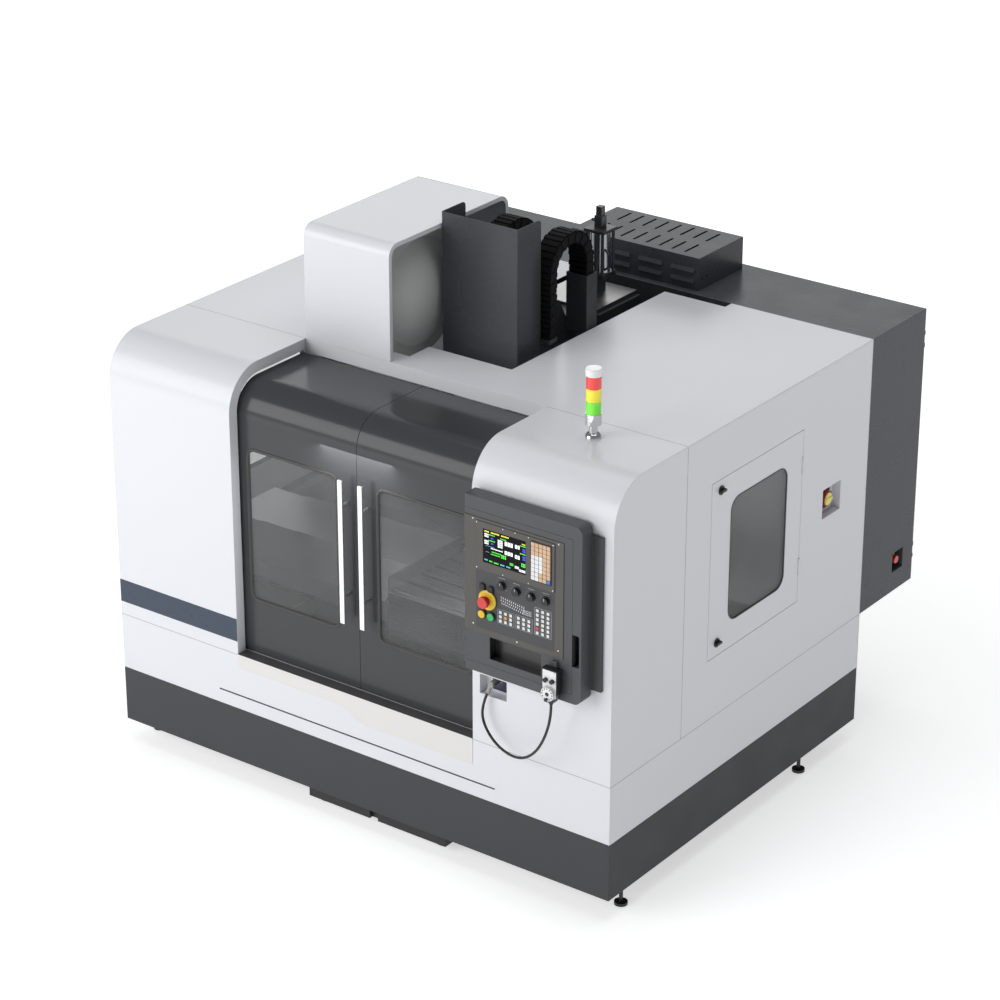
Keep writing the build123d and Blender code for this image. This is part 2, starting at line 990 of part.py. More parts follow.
# Access door window
with BuildPart() as access_door_window:
    rounded(side_view(inner_x - pane_thickness), pane_ys, pane_zs,
            side_window_corner + pane_lap, pane_thickness)
save(access_door_window, "access_door_window")


def latch(name, z):
    """Quarter-turn latch: escutcheon, grip, shaft and cam."""
    with BuildPart() as turn:
        skin = width + turn_gap
        rod(skin, latch_y, z, latch_plate_radius, latch_plate_thickness, "X")
        grip_xs = (skin + latch_plate_thickness, width + latch_reach)
        block(grip_xs, (latch_y - latch_grip_length / 2, latch_y + latch_grip_length / 2),
              (z - latch_grip_width / 2, z + latch_grip_width / 2))
        cam_x = inner_x - turn_gap - latch_cam_thickness
        rod(cam_x, latch_y, z, latch_shaft_radius, skin - cam_x, "X")
        block((cam_x, cam_x + latch_cam_thickness), (latch_y - latch_cam_length, latch_y),
              (z - latch_cam_width / 2, z + latch_cam_width / 2))
    save(turn, name)


latch("upper_latch", upper_latch_z)
latch("lower_latch", lower_latch_z)

# Main switch knob
with BuildPart() as main_switch_knob:
    dial_x0 = plate_x + turn_gap
    rod(dial_x0, switch_y, switch_z, switch_dial_radius, switch_dial_thickness, "X")
    grip_x = dial_x0 + switch_dial_thickness
    grip_ys = (switch_y - switch_dial_radius + sheet, switch_y + switch_dial_radius - sheet)
    block((grip_x, grip_x + switch_grip_height), grip_ys,
          (switch_z - switch_grip_width / 2, switch_z + switch_grip_width / 2))
    shaft_x = width - switch_depth - sheet - turn_gap - nut_thickness
    rod(shaft_x, switch_y, switch_z, switch_shaft_radius, dial_x0 - shaft_x, "X")
    rod(shaft_x, switch_y, switch_z, 2 * switch_shaft_radius, nut_thickness, "X")
save(main_switch_knob, "main_switch_knob")

# Roof panel with the header fold
with BuildPart() as roof_panel:
    under = roof_height - sheet
    block((0, width), (cover_depth, body_depth), (under, roof_height))
    block((doorway_left, doorway_right), (cover_depth, cover_depth + sheet),
          (door_top + header_gap, roof_height))
    block((opening_left, opening_right), (opening_front, opening_rear), (under, roof_height), Mode.SUBTRACT)
    block((head_opening_left, head_opening_right), (head_opening_front, body_depth),
          (under, roof_height), Mode.SUBTRACT)
    block((head_opening_right, head_opening_right + cable_slot_width), (cable_slot_front, body_depth),
          (under, roof_height), Mode.SUBTRACT)
save(roof_panel, "roof_panel")

# Work area liner: walls stepping in to the chip slopes and the floor
with BuildPart() as work_area_liner:
    with BuildSketch(front_view(liner_rear)) as liner_section:
        step_points = [(liner_side, liner_top)]
        step_points += [(inset, liner_floor + rise) for inset, rise in liner_steps]
        mirrored = [(width - x, z) for x, z in reversed(step_points)]
        with BuildLine():
            Polyline(*step_points, *mirrored)
            offset(amount=sheet, side=Side.RIGHT)
        make_face()
    extrude(amount=liner_rear - sill_depth)
    block(liner_opening, (bed_front, liner_rear), (liner_floor - sheet, liner_floor + sheet), Mode.SUBTRACT)
    block((0, width), (access_front, access_rear), (access_bottom, access_top), Mode.SUBTRACT)
    back_ys = (liner_rear - sheet, liner_rear)
    wide_bottom = liner_floor + liner_steps[0][1]
    trough_inset = liner_steps[-2][0]
    back_bottom = liner_floor + liner_steps[-2][1]
    block((liner_side, width - liner_side), back_ys, (wide_bottom, liner_top))
    block((trough_inset, width - trough_inset), back_ys, (back_bottom, wide_bottom))
    block(liner_rail_opening, back_ys, (back_bottom, liner_top), Mode.SUBTRACT)
    floor_inset = liner_steps[-1][0]
    block((floor_inset, width - floor_inset), (sill_depth, sill_depth + sheet), (sill_top, liner_floor))
save(work_area_liner, "work_area_liner")


def door(name, start, end, pane_start, pane_end, bar_x):
    """Sliding door leaf, its window and its handle."""
    with BuildPart() as leaf:
        rear = cover_depth - door_rear_gap
        shoulder(start, door_setback, door_top, door_shoulder, rear, door_bottom, end - start)
        inner_inset = door_setback + door_thickness
        shoulder(start, inner_inset, door_top - door_thickness, door_shoulder - door_thickness,
                 rear, door_bottom, end - start, Mode.SUBTRACT)
        shoulder(start + door_rim, door_setback + sheet, door_top - sheet, door_shoulder - sheet,
                 rear - door_rim, door_bottom + door_rim, end - start - 2 * door_rim, Mode.SUBTRACT)
        rebate = pane_lap + pane_gap
        frame = rebate + door_rim
        block((pane_start - frame, pane_end + frame), (door_setback, inner_inset),
              (window_bottom - frame, window_top + frame))
        glass_zs = (window_bottom, window_top)
        rounded(front_view(door_setback), (pane_start, pane_end), glass_zs, window_corner,
                -door_thickness, Mode.SUBTRACT)
        rounded(front_view(door_setback + sheet), (pane_start - rebate, pane_end + rebate),
                (window_bottom - rebate, window_top + rebate), window_corner + rebate,
                -door_thickness, Mode.SUBTRACT)
    save(leaf, name)
    with BuildPart() as pane:
        rounded(front_view(door_setback + sheet), (pane_start - pane_lap, pane_end + pane_lap),
                (window_bottom - pane_lap, window_top + pane_lap), window_corner + pane_lap,
                -pane_thickness)
    save(pane, f"{name}_window")
    with BuildPart() as handle:
        bar_front = door_setback - handle_reach
        bar_rear = bar_front + handle_thickness
        bar_zs = (handle_bottom, handle_top)
        block((bar_x - handle_width / 2, bar_x + handle_width / 2), (bar_front, bar_rear), bar_zs)
        fillet(handle.edges().filter_by(Axis.Z), handle_corner)
        for post_z in (bar_zs[0] + handle_post_inset, bar_zs[1] - handle_post_inset):
            rod(bar_x, bar_rear, post_z, handle_post_radius, door_setback - bar_rear, "Y")
    save(handle, f"{name}_handle")


door("left_door", doorway_left - door_lap, door_split - door_gap, doorway_left + window_jamb_margin,
     door_split - window_middle_margin, door_split - handle_offset)
door("right_door", door_split + door_gap, doorway_right + door_lap, door_split + window_middle_margin,
     doorway_right - window_jamb_margin, door_split + handle_offset)

# Magazine cover with the bearing boss of the carousel
with BuildPart() as magazine_cover:
    cover_ys = (magazine_front, magazine_rear)
    for inset, mode in ((0, Mode.ADD), (sheet, Mode.SUBTRACT)):
        top = magazine_top - inset
        radius = magazine_corner - inset
        with BuildSketch(side_view(magazine_left + inset)):
            with BuildLine():
                Line((cover_ys[0] + inset, roof_height), (cover_ys[0] + inset, top - radius))
                CenterArc((cover_ys[0] + inset + radius, top - radius), radius, 180, -90)
                Line((cover_ys[0] + inset + radius, top), (cover_ys[1] - inset - radius, top))
                CenterArc((cover_ys[1] - inset - radius, top - radius), radius, 90, -90)
                Line((cover_ys[1] - inset, top - radius), (cover_ys[1] - inset, roof_height))
                Line((cover_ys[1] - inset, roof_height), (cover_ys[0] + inset, roof_height))
            make_face()
        extrude(amount=magazine_right - magazine_left - 2 * inset, mode=mode)
    mouth_ys = (magazine_front + magazine_lip, magazine_rear - magazine_lip)
    mouth_zs = (roof_height, magazine_top - magazine_lip)
    rounded(side_view(magazine_right - sheet), mouth_ys, (mouth_zs[0] - magazine_corner, mouth_zs[1]),
            magazine_corner - magazine_lip, sheet, Mode.SUBTRACT)
    rod(magazine_left, carousel_y, carousel_z, boss_radius, boss_length, "X")
    rod(magazine_left + sheet, carousel_y, carousel_z, hub_radius + hub_gap, boss_length, "X", Mode.SUBTRACT)
save(magazine_cover, "magazine_cover")

# Tool carousel: disc, domed face, pots and hub
disc_left = disc_right - disc_thickness
with BuildPart() as tool_carousel:
    rod(disc_left, carousel_y, carousel_z, disc_radius, disc_thickness, "X")
    dome_sphere = (dome_radius**2 + dome_height**2) / (2 * dome_height)
    with BuildSketch(Plane(origin=at(disc_right, carousel_y, carousel_z), x_dir=(1, 0, 0), z_dir=(0, -1, 0))):
        with BuildLine():
            Line((0, 0), (0, dome_radius))
            RadiusArc((0, dome_radius), (dome_height, 0), dome_sphere)
            Line((dome_height, 0), (0, 0))
        make_face()
    revolve(axis=Axis(at(disc_right, carousel_y, carousel_z), (1, 0, 0)))
    hub_start = magazine_left + hub_end_inset
    rod(hub_start, carousel_y, carousel_z, hub_radius, disc_left - hub_start, "X")
    pot_plane = Plane(origin=at(disc_left, carousel_y, carousel_z), x_dir=(0, 1, 0), z_dir=(-1, 0, 0))
    with BuildSketch(pot_plane):
        with PolarLocations(pot_circle_radius, pot_count):
            RegularPolygon(pot_radius, pot_sides)
    extrude(amount=pot_length)
    with BuildSketch(pot_plane.offset(pot_length)):
        with PolarLocations(pot_circle_radius, pot_count):
            RegularPolygon(pot_bore, pot_bore_sides)
    extrude(amount=-pot_length / 2, mode=Mode.SUBTRACT)
save(tool_carousel, "tool_carousel")

# Electrical cabinet behind the body
with BuildPart() as electrical_cabinet:
    block((0, width), (body_depth, cabinet_rear), (band_top, roof_height))
    block((sheet, width - sheet), (body_depth + sheet, cabinet_rear - sheet),
          (band_top + sheet, roof_height - sheet), Mode.SUBTRACT)
    mouth_gap = cabinet_door_gap
    mouth_xs = (cabinet_door_left - mouth_gap, cabinet_door_right + mouth_gap)
    block(mouth_xs, (cabinet_rear - sheet, cabinet_rear),
          (cabinet_door_bottom - mouth_gap, cabinet_door_top + mouth_gap), Mode.SUBTRACT)
    block((width - side_stop_depth - sheet, width), (side_stop_front - sheet, side_stop_rear + sheet),
          (side_stop_bottom - sheet, side_stop_top + sheet))
    block((width - side_stop_depth, width), (side_stop_front, side_stop_rear),
          (side_stop_bottom, side_stop_top), Mode.SUBTRACT)
    stop_y = (side_stop_front + side_stop_rear) / 2
    stop_z = (side_stop_bottom + side_stop_top) / 2
    rod(width - side_stop_depth - sheet, stop_y, stop_z, knob_shaft_radius + turn_gap, sheet, "X",
        Mode.SUBTRACT)
    cabinet_hinge_y = cabinet_rear + hinge_proud - knuckle_radius
    cabinet_hinge_zs = (cabinet_door_bottom + cabinet_hinge_inset,
                        cabinet_door_top - cabinet_hinge_inset - knuckle_length)
    for hinge_z in cabinet_hinge_zs:
        for end_z in (hinge_z - knuckle_gap - knuckle_length / 2, hinge_z + knuckle_length + knuckle_gap):
            ear_zs = (end_z, end_z + knuckle_length / 2)
            block((cabinet_hinge_x, width), (cabinet_rear, cabinet_hinge_y), ear_zs)
            knuckle(cabinet_hinge_x, cabinet_hinge_y, end_z, knuckle_length / 2, False)
        pin_bottom = hinge_z - knuckle_gap - knuckle_length / 4
        rod(cabinet_hinge_x, cabinet_hinge_y, pin_bottom, pin_radius, pin_length)
save(electrical_cabinet, "electrical_cabinet")

# Cabinet door
with BuildPart() as cabinet_door:
    leaf_xs = (cabinet_door_left, cabinet_door_right)
    leaf_zs = (cabinet_door_bottom, cabinet_door_top)
    flange_y = cabinet_rear - cabinet_door_flange
    block(leaf_xs, (flange_y, cabinet_rear), leaf_zs)
    block((leaf_xs[0] + sheet, leaf_xs[1] - sheet), (flange_y, cabinet_rear - sheet),
          (leaf_zs[0] + sheet, leaf_zs[1] - sheet), Mode.SUBTRACT)
    for hinge_z in cabinet_hinge_zs:
        ear_zs = (hinge_z, hinge_z + knuckle_length)
        block((cabinet_door_right - fold, cabinet_door_right), (cabinet_rear, cabinet_hinge_y), ear_zs)
        block((cabinet_door_right, cabinet_hinge_x), (cabinet_rear + knuckle_gap, cabinet_hinge_y), ear_zs)
        knuckle(cabinet_hinge_x, cabinet_hinge_y, hinge_z, knuckle_length, False)
        rod(cabinet_hinge_x, cabinet_hinge_y, hinge_z, pin_radius + pin_gap, knuckle_length,
            mode=Mode.SUBTRACT)
save(cabinet_door, "cabinet_door")

# Cabinet equipment on its mounting plate
with BuildPart() as cabinet_equipment:
    mount_y = body_depth + sheet + backplate_stand_off
    mount_xs = (backplate_inset, width - backplate_inset)
    mount_zs = (band_top + backplate_inset, roof_height - backplate_inset)
    block(mount_xs, (mount_y, mount_y + sheet), mount_zs)
    for post_x in (mount_xs[0] + fold, mount_xs[1] - fold):
        for post_z in (mount_zs[0] + fold, mount_zs[1] - fold):
            rod(post_x, body_depth + sheet, post_z, fold / 2, backplate_stand_off, "Y")
    first_x = cabinet_door_left + equipment_margin
    drive_top = mount_zs[1] - drive_drop
    for place in range(drive_count):
        drive_x = first_x + place * (drive_width + drive_gap)
        block((drive_x, drive_x + drive_width), (mount_y + sheet, mount_y + drive_depth),
              (drive_top - drive_height, drive_top))
    for row in range(breaker_rows):
        for place in range(breaker_count):
            breaker_x = first_x + place * (breaker_width + breaker_gap)
            breaker_z = mount_zs[0] + breaker_lift + row * breaker_row_pitch
            block((breaker_x, breaker_x + breaker_width), (mount_y + sheet, mount_y + breaker_depth),
                  (breaker_z, breaker_z + breaker_height))
    transformer_z = mount_zs[0] + equipment_margin
    transformer_right = transformer_left + transformer_width
    block((transformer_left, transformer_right), (mount_y + sheet, mount_y + transformer_depth),
          (transformer_z, transformer_z + transformer_height))
save(cabinet_equipment, "cabinet_equipment")


def mushroom(name, plane, ring, neck, head, height, shaft_length):
    """Push button on a view plane: head, neck, shaft and its nut."""
    with BuildPart() as button:
        with BuildSketch(plane.offset(press_travel + turn_gap)):
            Circle(neck)
        extrude(amount=height / 2)
        with BuildSketch(plane.offset(press_travel + turn_gap + height / 2)):
            Circle(head)
        extrude(amount=height / 2)
        fillet(button.faces().sort_by(Axis(plane.origin, plane.z_dir))[-1].edges(), height / 8)
        with BuildSketch(plane.offset(press_travel + turn_gap)):
            Circle(knob_shaft_radius)
        extrude(amount=-(press_travel + turn_gap + shaft_length))
        with BuildSketch(plane.offset(-shaft_length)):
            Circle(ring)
        extrude(amount=-nut_thickness)
    save(button, name)


# Emergency stop in the cabinet's side recess
stop_plane = Plane(origin=at(width - side_stop_depth, stop_y, stop_z), x_dir=(0, 1, 0), z_dir=(1, 0, 0))
mushroom("cabinet_estop_button", stop_plane, 2 * knob_shaft_radius, side_stop_neck,
         side_stop_radius, side_stop_depth - 2 * press_travel - turn_gap, sheet + turn_gap)

# Vent box on the cabinet
with BuildPart() as vent_box:
    vent_top = roof_height + vent_height
    block((vent_left, vent_right), (vent_front, vent_rear), (roof_height, vent_top))
    block((vent_left + sheet, vent_right - sheet), (vent_front + sheet, vent_rear - sheet),
          (roof_height, vent_top - sheet), Mode.SUBTRACT)
    vent_x = (vent_left + vent_right) / 2
    slots_across = round((vent_right - vent_left) / vent_slot_pitch) - 2
    with BuildSketch(top_view(vent_top)):
        for row_y in (vent_front + vent_front_row, vent_front + vent_rear_row):
            with Locations((vent_x, row_y)):
                with GridLocations(vent_slot_pitch, 0, slots_across, 1):
                    SlotOverall(vent_slot_length, vent_slot_width, rotation=90)
    extrude(amount=-sheet, mode=Mode.SUBTRACT)
    louvre_z = roof_height + vent_height / 2
    for row_z in (louvre_z - louvre_row_pitch / 2, louvre_z + louvre_row_pitch / 2):
        for group in range(louvre_groups):
            louvre_x = vent_x + (group - (louvre_groups - 1) / 2) * louvre_pitch
            block((louvre_x - louvre_length / 2, louvre_x + louvre_length / 2),
                  (vent_front, vent_front + sheet), (row_z - louvre_height, row_z), Mode.SUBTRACT)
            with BuildSketch(side_view(louvre_x - louvre_length / 2)):
                with BuildLine():
                    Polyline((vent_front, row_z), (vent_front + sheet, row_z),
                             (vent_front + sheet - louvre_depth, row_z - louvre_height),
                             (vent_front - louvre_depth, row_z - louvre_height), close=True)
                make_face()
            extrude(amount=louvre_length)
    for inset in vent_grommet_insets:
        rod(vent_right - sheet, vent_front + inset, roof_height + vent_grommet_lift, vent_grommet_radius,
            sheet, "X", Mode.SUBTRACT)
save(vent_box, "vent_box")

# Stack light: base, neck and the white body
light_body_z = roof_height + light_base_height + light_neck_height
with BuildPart() as stack_light_base:
    with BuildSketch(Plane(origin=at(light_x, light_y, roof_height), x_dir=(1, 0, 0), z_dir=(0, -1, 0))):
        with BuildLine():
            neck_z = light_base_height
            Line((0, 0), (light_base_radius, 0))
            Line((light_base_radius, 0), (light_base_radius, neck_z / 4))
            Spline((light_base_radius, neck_z / 4), (light_neck_radius, neck_z),
                   tangents=((-0.3, 1), (-1, 0.4)))
            Line((light_neck_radius, neck_z), (light_neck_radius, neck_z + light_neck_height))
            Line((light_neck_radius, neck_z + light_neck_height), (0, neck_z + light_neck_height))
            Line((0, neck_z + light_neck_height), (0, 0))
        make_face()
    revolve(axis=Axis(at(light_x, light_y, 0), (0, 0, 1)))
    rod(light_x, light_y, light_body_z, light_body_radius, light_body_height)
save(stack_light_base, "stack_light_base")

# Stack light lenses and cap
with BuildPart() as stack_light_lenses:
    lens_z = light_body_z + light_body_height
    for place in range(3):
        ring_z = lens_z + (place + 1) * light_lens_height - light_lens_gap
        rod(light_x, light_y, lens_z + place * light_lens_height, light_lens_radius,
            light_lens_height - light_lens_gap)
        rod(light_x, light_y, ring_z, light_lens_radius - light_lens_gap, light_lens_gap)
    cap_z = lens_z + 3 * light_lens_height
    rod(light_x, light_y, cap_z, light_cap_radius, light_cap_height)
    fillet(stack_light_lenses.faces().sort_by(Axis.Z)[-1].edges(), light_cap_round)
save(stack_light_lenses, "stack_light_lenses")

# Column with its rails, the chain stand and the vertical screw
head_screw_y = column_front + head_screw_inset
with BuildPart() as machine_column:
    half_top = column_top_width / 2
    half_foot = column_foot_width / 2
    outline = [
        (spindle_x - half_foot, bed_top),
        (spindle_x + half_foot, bed_top),
        (spindle_x + half_foot, head_rail_bottom),
        (spindle_x + half_top, column_taper_end),
        (spindle_x + half_top, column_top),
        (spindle_x - half_top, column_top),
        (spindle_x - half_top, column_taper_end),
        (spindle_x - half_foot, head_rail_bottom),
    ]
    profile(front_view(column_rear), outline, column_rear - column_front)
    screw_room = rail_offset - head_rail_width / 2 - nut_wall
    groove_rear = head_screw_y + nut_half + groove_gap
    block((spindle_x - screw_room, spindle_x + screw_room), (column_front, groove_rear),
          (head_rail_bottom, head_rail_top), Mode.SUBTRACT)
    for rail_x in (spindle_x - rail_offset, spindle_x + rail_offset):
        block((rail_x - head_rail_width / 2, rail_x + head_rail_width / 2),
              (column_front - head_rail_depth, column_front), (head_rail_bottom, head_rail_top))
    for end_z in (head_rail_bottom, head_rail_top - 2 * screw_radius):
        block((spindle_x - 2 * screw_radius, spindle_x + 2 * screw_radius),
              (head_screw_y - screw_radius, groove_rear), (end_z, end_z + 2 * screw_radius))
    rod(spindle_x, head_screw_y, head_rail_bottom, screw_radius, head_rail_top - head_rail_bottom)
    block((column_cap_left, column_cap_right), (column_front, column_rear), (column_top, column_cap_top))
    stand_rear = chain_stand_y + chain_stand_thickness
    block((column_cap_left, column_cap_right), (chain_stand_y, column_front + chain_stand_lap),
          (column_top, column_top + chain_stand_thickness))
    for right, bottom in ((chain_right, trough_bottom), (twin_chain_right, chain_rear_bottom)):
        outer_xs = (right - chain_width - trough_gap - trough_wall, right + trough_gap + trough_wall)
        trough_front = chain_rear - chain_thickness - trough_gap - trough_wall
        block(outer_xs, (trough_front, stand_rear), (bottom, trough_top))
        block(outer_xs, (chain_stand_y, stand_rear), (column_top, trough_top))
        block((outer_xs[0] + trough_wall, outer_xs[1] - trough_wall),
              (trough_front + trough_wall, chain_stand_y), (bottom + trough_wall, trough_top), Mode.SUBTRACT)
save(machine_column, "machine_column")

# Bed with its rails and the lengthwise screw
bed_screw_z = bed_top + bed_rail_height / 2
bed_ways_rear = column_front - bed_ways_setback
with BuildPart() as machine_bed:
    block((bed_left, bed_right), (bed_front, bed_rear), (bed_bottom, bed_top))
    columns = 2
    rows = 3
    pocket_width = (bed_right - bed_left - (columns + 1) * bed_wall) / columns
    pocket_length = (bed_rear - bed_front - (rows + 1) * bed_wall) / rows
    for column in range(columns):
        for row in range(rows):
            pocket_x = bed_left + bed_wall + column * (pocket_width + bed_wall)
            pocket_y = bed_front + bed_wall + row * (pocket_length + bed_wall)
            block((pocket_x, pocket_x + pocket_width), (pocket_y, pocket_y + pocket_length),
                  (bed_bottom, bed_top - bed_roof), Mode.SUBTRACT)
    for rail_x in (spindle_x - bed_rail_offset, spindle_x + bed_rail_offset):
        block((rail_x - bed_rail_width / 2, rail_x + bed_rail_width / 2), (bed_front, bed_ways_rear),
              (bed_top, bed_top + bed_rail_height))
    for end_y in (bed_front, bed_ways_rear - bed_wall):
        block((spindle_x - bed_wall, spindle_x + bed_wall), (end_y, end_y + bed_wall),
              (bed_top, bed_screw_z + screw_radius + nut_wall))
    rod(spindle_x, bed_front, bed_screw_z, screw_radius, bed_ways_rear - bed_front, "Y")
save(machine_bed, "machine_bed")

# Saddle with its cross rails, wings and the crosswise screw
cross_screw_z = saddle_top + (table_bottom - saddle_top) / 2 + screw_gap
with BuildPart() as saddle:
    block((saddle_left, saddle_right), (saddle_front, saddle_rear), (saddle_bottom, saddle_top))
    for rail_y in (cross_rail_front, cross_rail_rear):
        block((saddle_left, saddle_right), (rail_y - cross_rail_width / 2, rail_y + cross_rail_width / 2),
              (saddle_top, saddle_top + cross_rail_height))
    for xs in ((wing_left, saddle_left), (saddle_right, wing_right)):
        block(xs, (wing_front, wing_rear), (wing_top - wing_thickness, wing_top))
    for ys in ((wing_front, saddle_front), (saddle_rear, wing_rear)):
        block((saddle_left, saddle_right), ys, (wing_top - wing_thickness, wing_top))
    nut_bottom = bed_screw_z - screw_radius - nut_wall
    nut_ys = (screw_y - nut_half, screw_y + nut_half)
    block((spindle_x - nut_half, spindle_x + nut_half), nut_ys, (nut_bottom, saddle_bottom))
    rod(spindle_x, nut_ys[0], bed_screw_z, screw_radius + screw_gap, 2 * nut_half, "Y", Mode.SUBTRACT)
    for end_x in (saddle_left, saddle_right - screw_block_length):
        block((end_x, end_x + screw_block_length), nut_ys,
              (saddle_top, cross_screw_z + screw_radius + nut_wall))
    rod(saddle_left, screw_y, cross_screw_z, screw_radius, saddle_right - saddle_left, "X")
    motor_zs = (wing_top - sheet, wing_top + axis_motor_side)
    block((saddle_left - axis_motor_length, saddle_left),
          (screw_y - axis_motor_side / 2, screw_y + axis_motor_side / 2), motor_zs)
save(saddle, "saddle")

# Work table with T-slots
with BuildPart() as work_table:
    table_x = (table_left + table_right) / 2
    block((table_left, table_right), (table_front, table_rear), (table_bottom, table_top))
    for slot in range(slot_count):
        slot_y = table_front + first_slot_inset + slot * slot_pitch
        if slot_y + slot_head_width / 2 < table_rear:
            neck_bottom = table_top - slot_neck_depth
            block((table_left, table_right), (slot_y - slot_neck_width / 2, slot_y + slot_neck_width / 2),
                  (neck_bottom, table_top), Mode.SUBTRACT)
            block((table_left, table_right), (slot_y - slot_head_width / 2, slot_y + slot_head_width / 2),
                  (neck_bottom - slot_head_depth, neck_bottom), Mode.SUBTRACT)
    gutter_y = table_front + gutter_inset
    block((table_left, table_right), (gutter_y - gutter_width / 2, gutter_y + gutter_width / 2),
          (table_top - gutter_depth, table_top), Mode.SUBTRACT)
    shoe_zs = (saddle_top + cross_rail_height + rail_gap, table_bottom)
    for rail_y in (cross_rail_front, cross_rail_rear):
        for shoe_x in (table_x - shoe_offset, table_x + shoe_offset):
            block((shoe_x - shoe_length / 2, shoe_x + shoe_length / 2),
                  (rail_y - cross_rail_width / 2, rail_y + cross_rail_width / 2), shoe_zs)
    nut_zs = (cross_screw_z - screw_radius - nut_wall, table_bottom)
    block((table_x - nut_half, table_x + nut_half), nut_ys, nut_zs)
    rod(table_x - nut_half, screw_y, cross_screw_z, screw_radius + screw_gap, 2 * nut_half, "X",
        Mode.SUBTRACT)
    block((table_left, table_right), (table_front, table_front + apron_plate_thickness),
          (table_bottom - apron_plate_height, table_bottom))
    guard_ys = (table_front + guard_front_inset, table_rear - guard_rear_inset)
    for guard_x in (table_left - guard_thickness, table_right):
        block((guard_x, guard_x + guard_thickness), guard_ys, (table_bottom + sheet, table_top + guard_rise))
save(work_table, "work_table")


def way_cover(start, end, grow):
    """Telescopic cover: nested folded sections, each a little larger than the last."""
    run = (end - start) / way_cover_sections
    for place in range(way_cover_sections):
        shrink = way_cover_step * (place if grow > 0 else way_cover_sections - 1 - place)
        x = start + place * run
        outer = [
            (wing_front, wing_top),
            (wing_front, way_cover_front_height - shrink),
            (way_cover_ridge_y, way_cover_ridge - shrink),
            (wing_rear, way_cover_ridge - shrink),
            (wing_rear, wing_top),
        ]
        profile(side_view(x), outer, run)
        inner_front = way_cover_front_height - shrink - 2 * way_cover_wall - way_cover_step
        inner_ridge = way_cover_ridge - shrink - way_cover_wall - way_cover_step
        inner = [
            (wing_front + way_cover_wall, wing_top),
            (wing_front + way_cover_wall, inner_front),
            (way_cover_ridge_y, inner_ridge),
            (wing_rear - way_cover_wall, inner_ridge),
            (wing_rear - way_cover_wall, wing_top),
        ]
        profile(side_view(x), inner, run, Mode.SUBTRACT)


# Way covers on both sides of the table
with BuildPart() as table_way_covers:
    way_cover(way_cover_left, table_left - guard_thickness - rail_gap, -1)
    way_cover(table_right + guard_thickness + rail_gap, way_cover_right, 1)
save(table_way_covers, "table_way_covers")

# Spindle head casting
head_left = spindle_x - head_width / 2
head_right = spindle_x + head_width / 2
carriage_rear = column_front - head_rail_depth - rail_gap
bore_top = spindle_nose_z + spindle_nose_length + rail_gap + spindle_length + rail_gap
with BuildPart() as spindle_head:
    casting = [
        (head_front, head_bottom),
        (head_front, head_top),
        (head_shoulder_y, head_top),
        (head_slope_y, head_rear_top),
        (carriage_rear, head_rear_top),
        (carriage_rear, carriage_bottom),
        (carriage_front, carriage_bottom),
        (head_shoulder_y, head_bottom),
    ]
    profile(side_view(head_left), casting, head_width)
    housing_bottom = head_bottom - housing_length
    rod(spindle_x, spindle_y, housing_bottom, housing_radius, housing_length)
    rod(spindle_x, spindle_y, housing_bottom, spindle_radius + spindle_gap, bore_top - housing_bottom,
        mode=Mode.SUBTRACT)
    nut_z = (carriage_bottom + head_rear_top) / 2
    block((spindle_x - nut_half, spindle_x + nut_half), (carriage_rear, head_screw_y + nut_half),
          (nut_z - nut_half, nut_z + nut_half))
    rod(spindle_x, head_screw_y, carriage_bottom, screw_radius + screw_gap, head_rear_top - carriage_bottom,
        mode=Mode.SUBTRACT)
    block((head_right, chain_right), (chain_front, chain_front + chain_thickness),
          (chain_bracket_z, chain_bracket_z + chain_bracket_thickness))
save(spindle_head, "spindle_head")

# Spindle shaft with its taper and drive keys
with BuildPart() as spindle:
    nose_plane = Plane(origin=at(spindle_x, spindle_y, spindle_nose_z), x_dir=(1, 0, 0), z_dir=(0, -1, 0))
    with BuildSketch(nose_plane):
        with BuildLine():
            taper_end = (taper_mouth - taper_length * taper_ratio) / 2
            shaft_top = spindle_nose_length + rail_gap + spindle_length
            Polyline((taper_mouth / 2, 0), (spindle_nose_radius, 0),
                     (spindle_nose_radius, spindle_nose_length), (spindle_radius, spindle_nose_length),
                     (spindle_radius, shaft_top), (taper_bore_radius, shaft_top),
                     (taper_bore_radius, taper_length), (taper_end, taper_length), close=True)
        make_face()
    revolve(axis=Axis(at(spindle_x, spindle_y, 0), (0, 0, 1)))
    key_middle = (taper_mouth / 2 + spindle_nose_radius) / 2
    for side in (-1, 1):
        key_x = spindle_x + side * key_middle
        block((key_x - spindle_key_half, key_x + spindle_key_half),
              (spindle_y - spindle_key_half, spindle_y + spindle_key_half),
              (spindle_nose_z - spindle_key_half, spindle_nose_z))
save(spindle, "spindle")

# Spindle motor
with BuildPart() as spindle_motor:
    half_side = motor_side / 2
    block((spindle_x - half_side, spindle_x + half_side), (spindle_y - half_side, spindle_y + half_side),
          (head_top, head_top + motor_height))
    chamfer(spindle_motor.edges().filter_by(Axis.Z), motor_chamfer)
    half_cap = motor_cap_side / 2
    cap_zs = (head_top + motor_height, head_top + motor_height + motor_cap_height)
    block((spindle_x - half_cap, spindle_x + half_cap), (spindle_y - half_cap, spindle_y + half_cap), cap_zs)
save(spindle_motor, "spindle_motor")

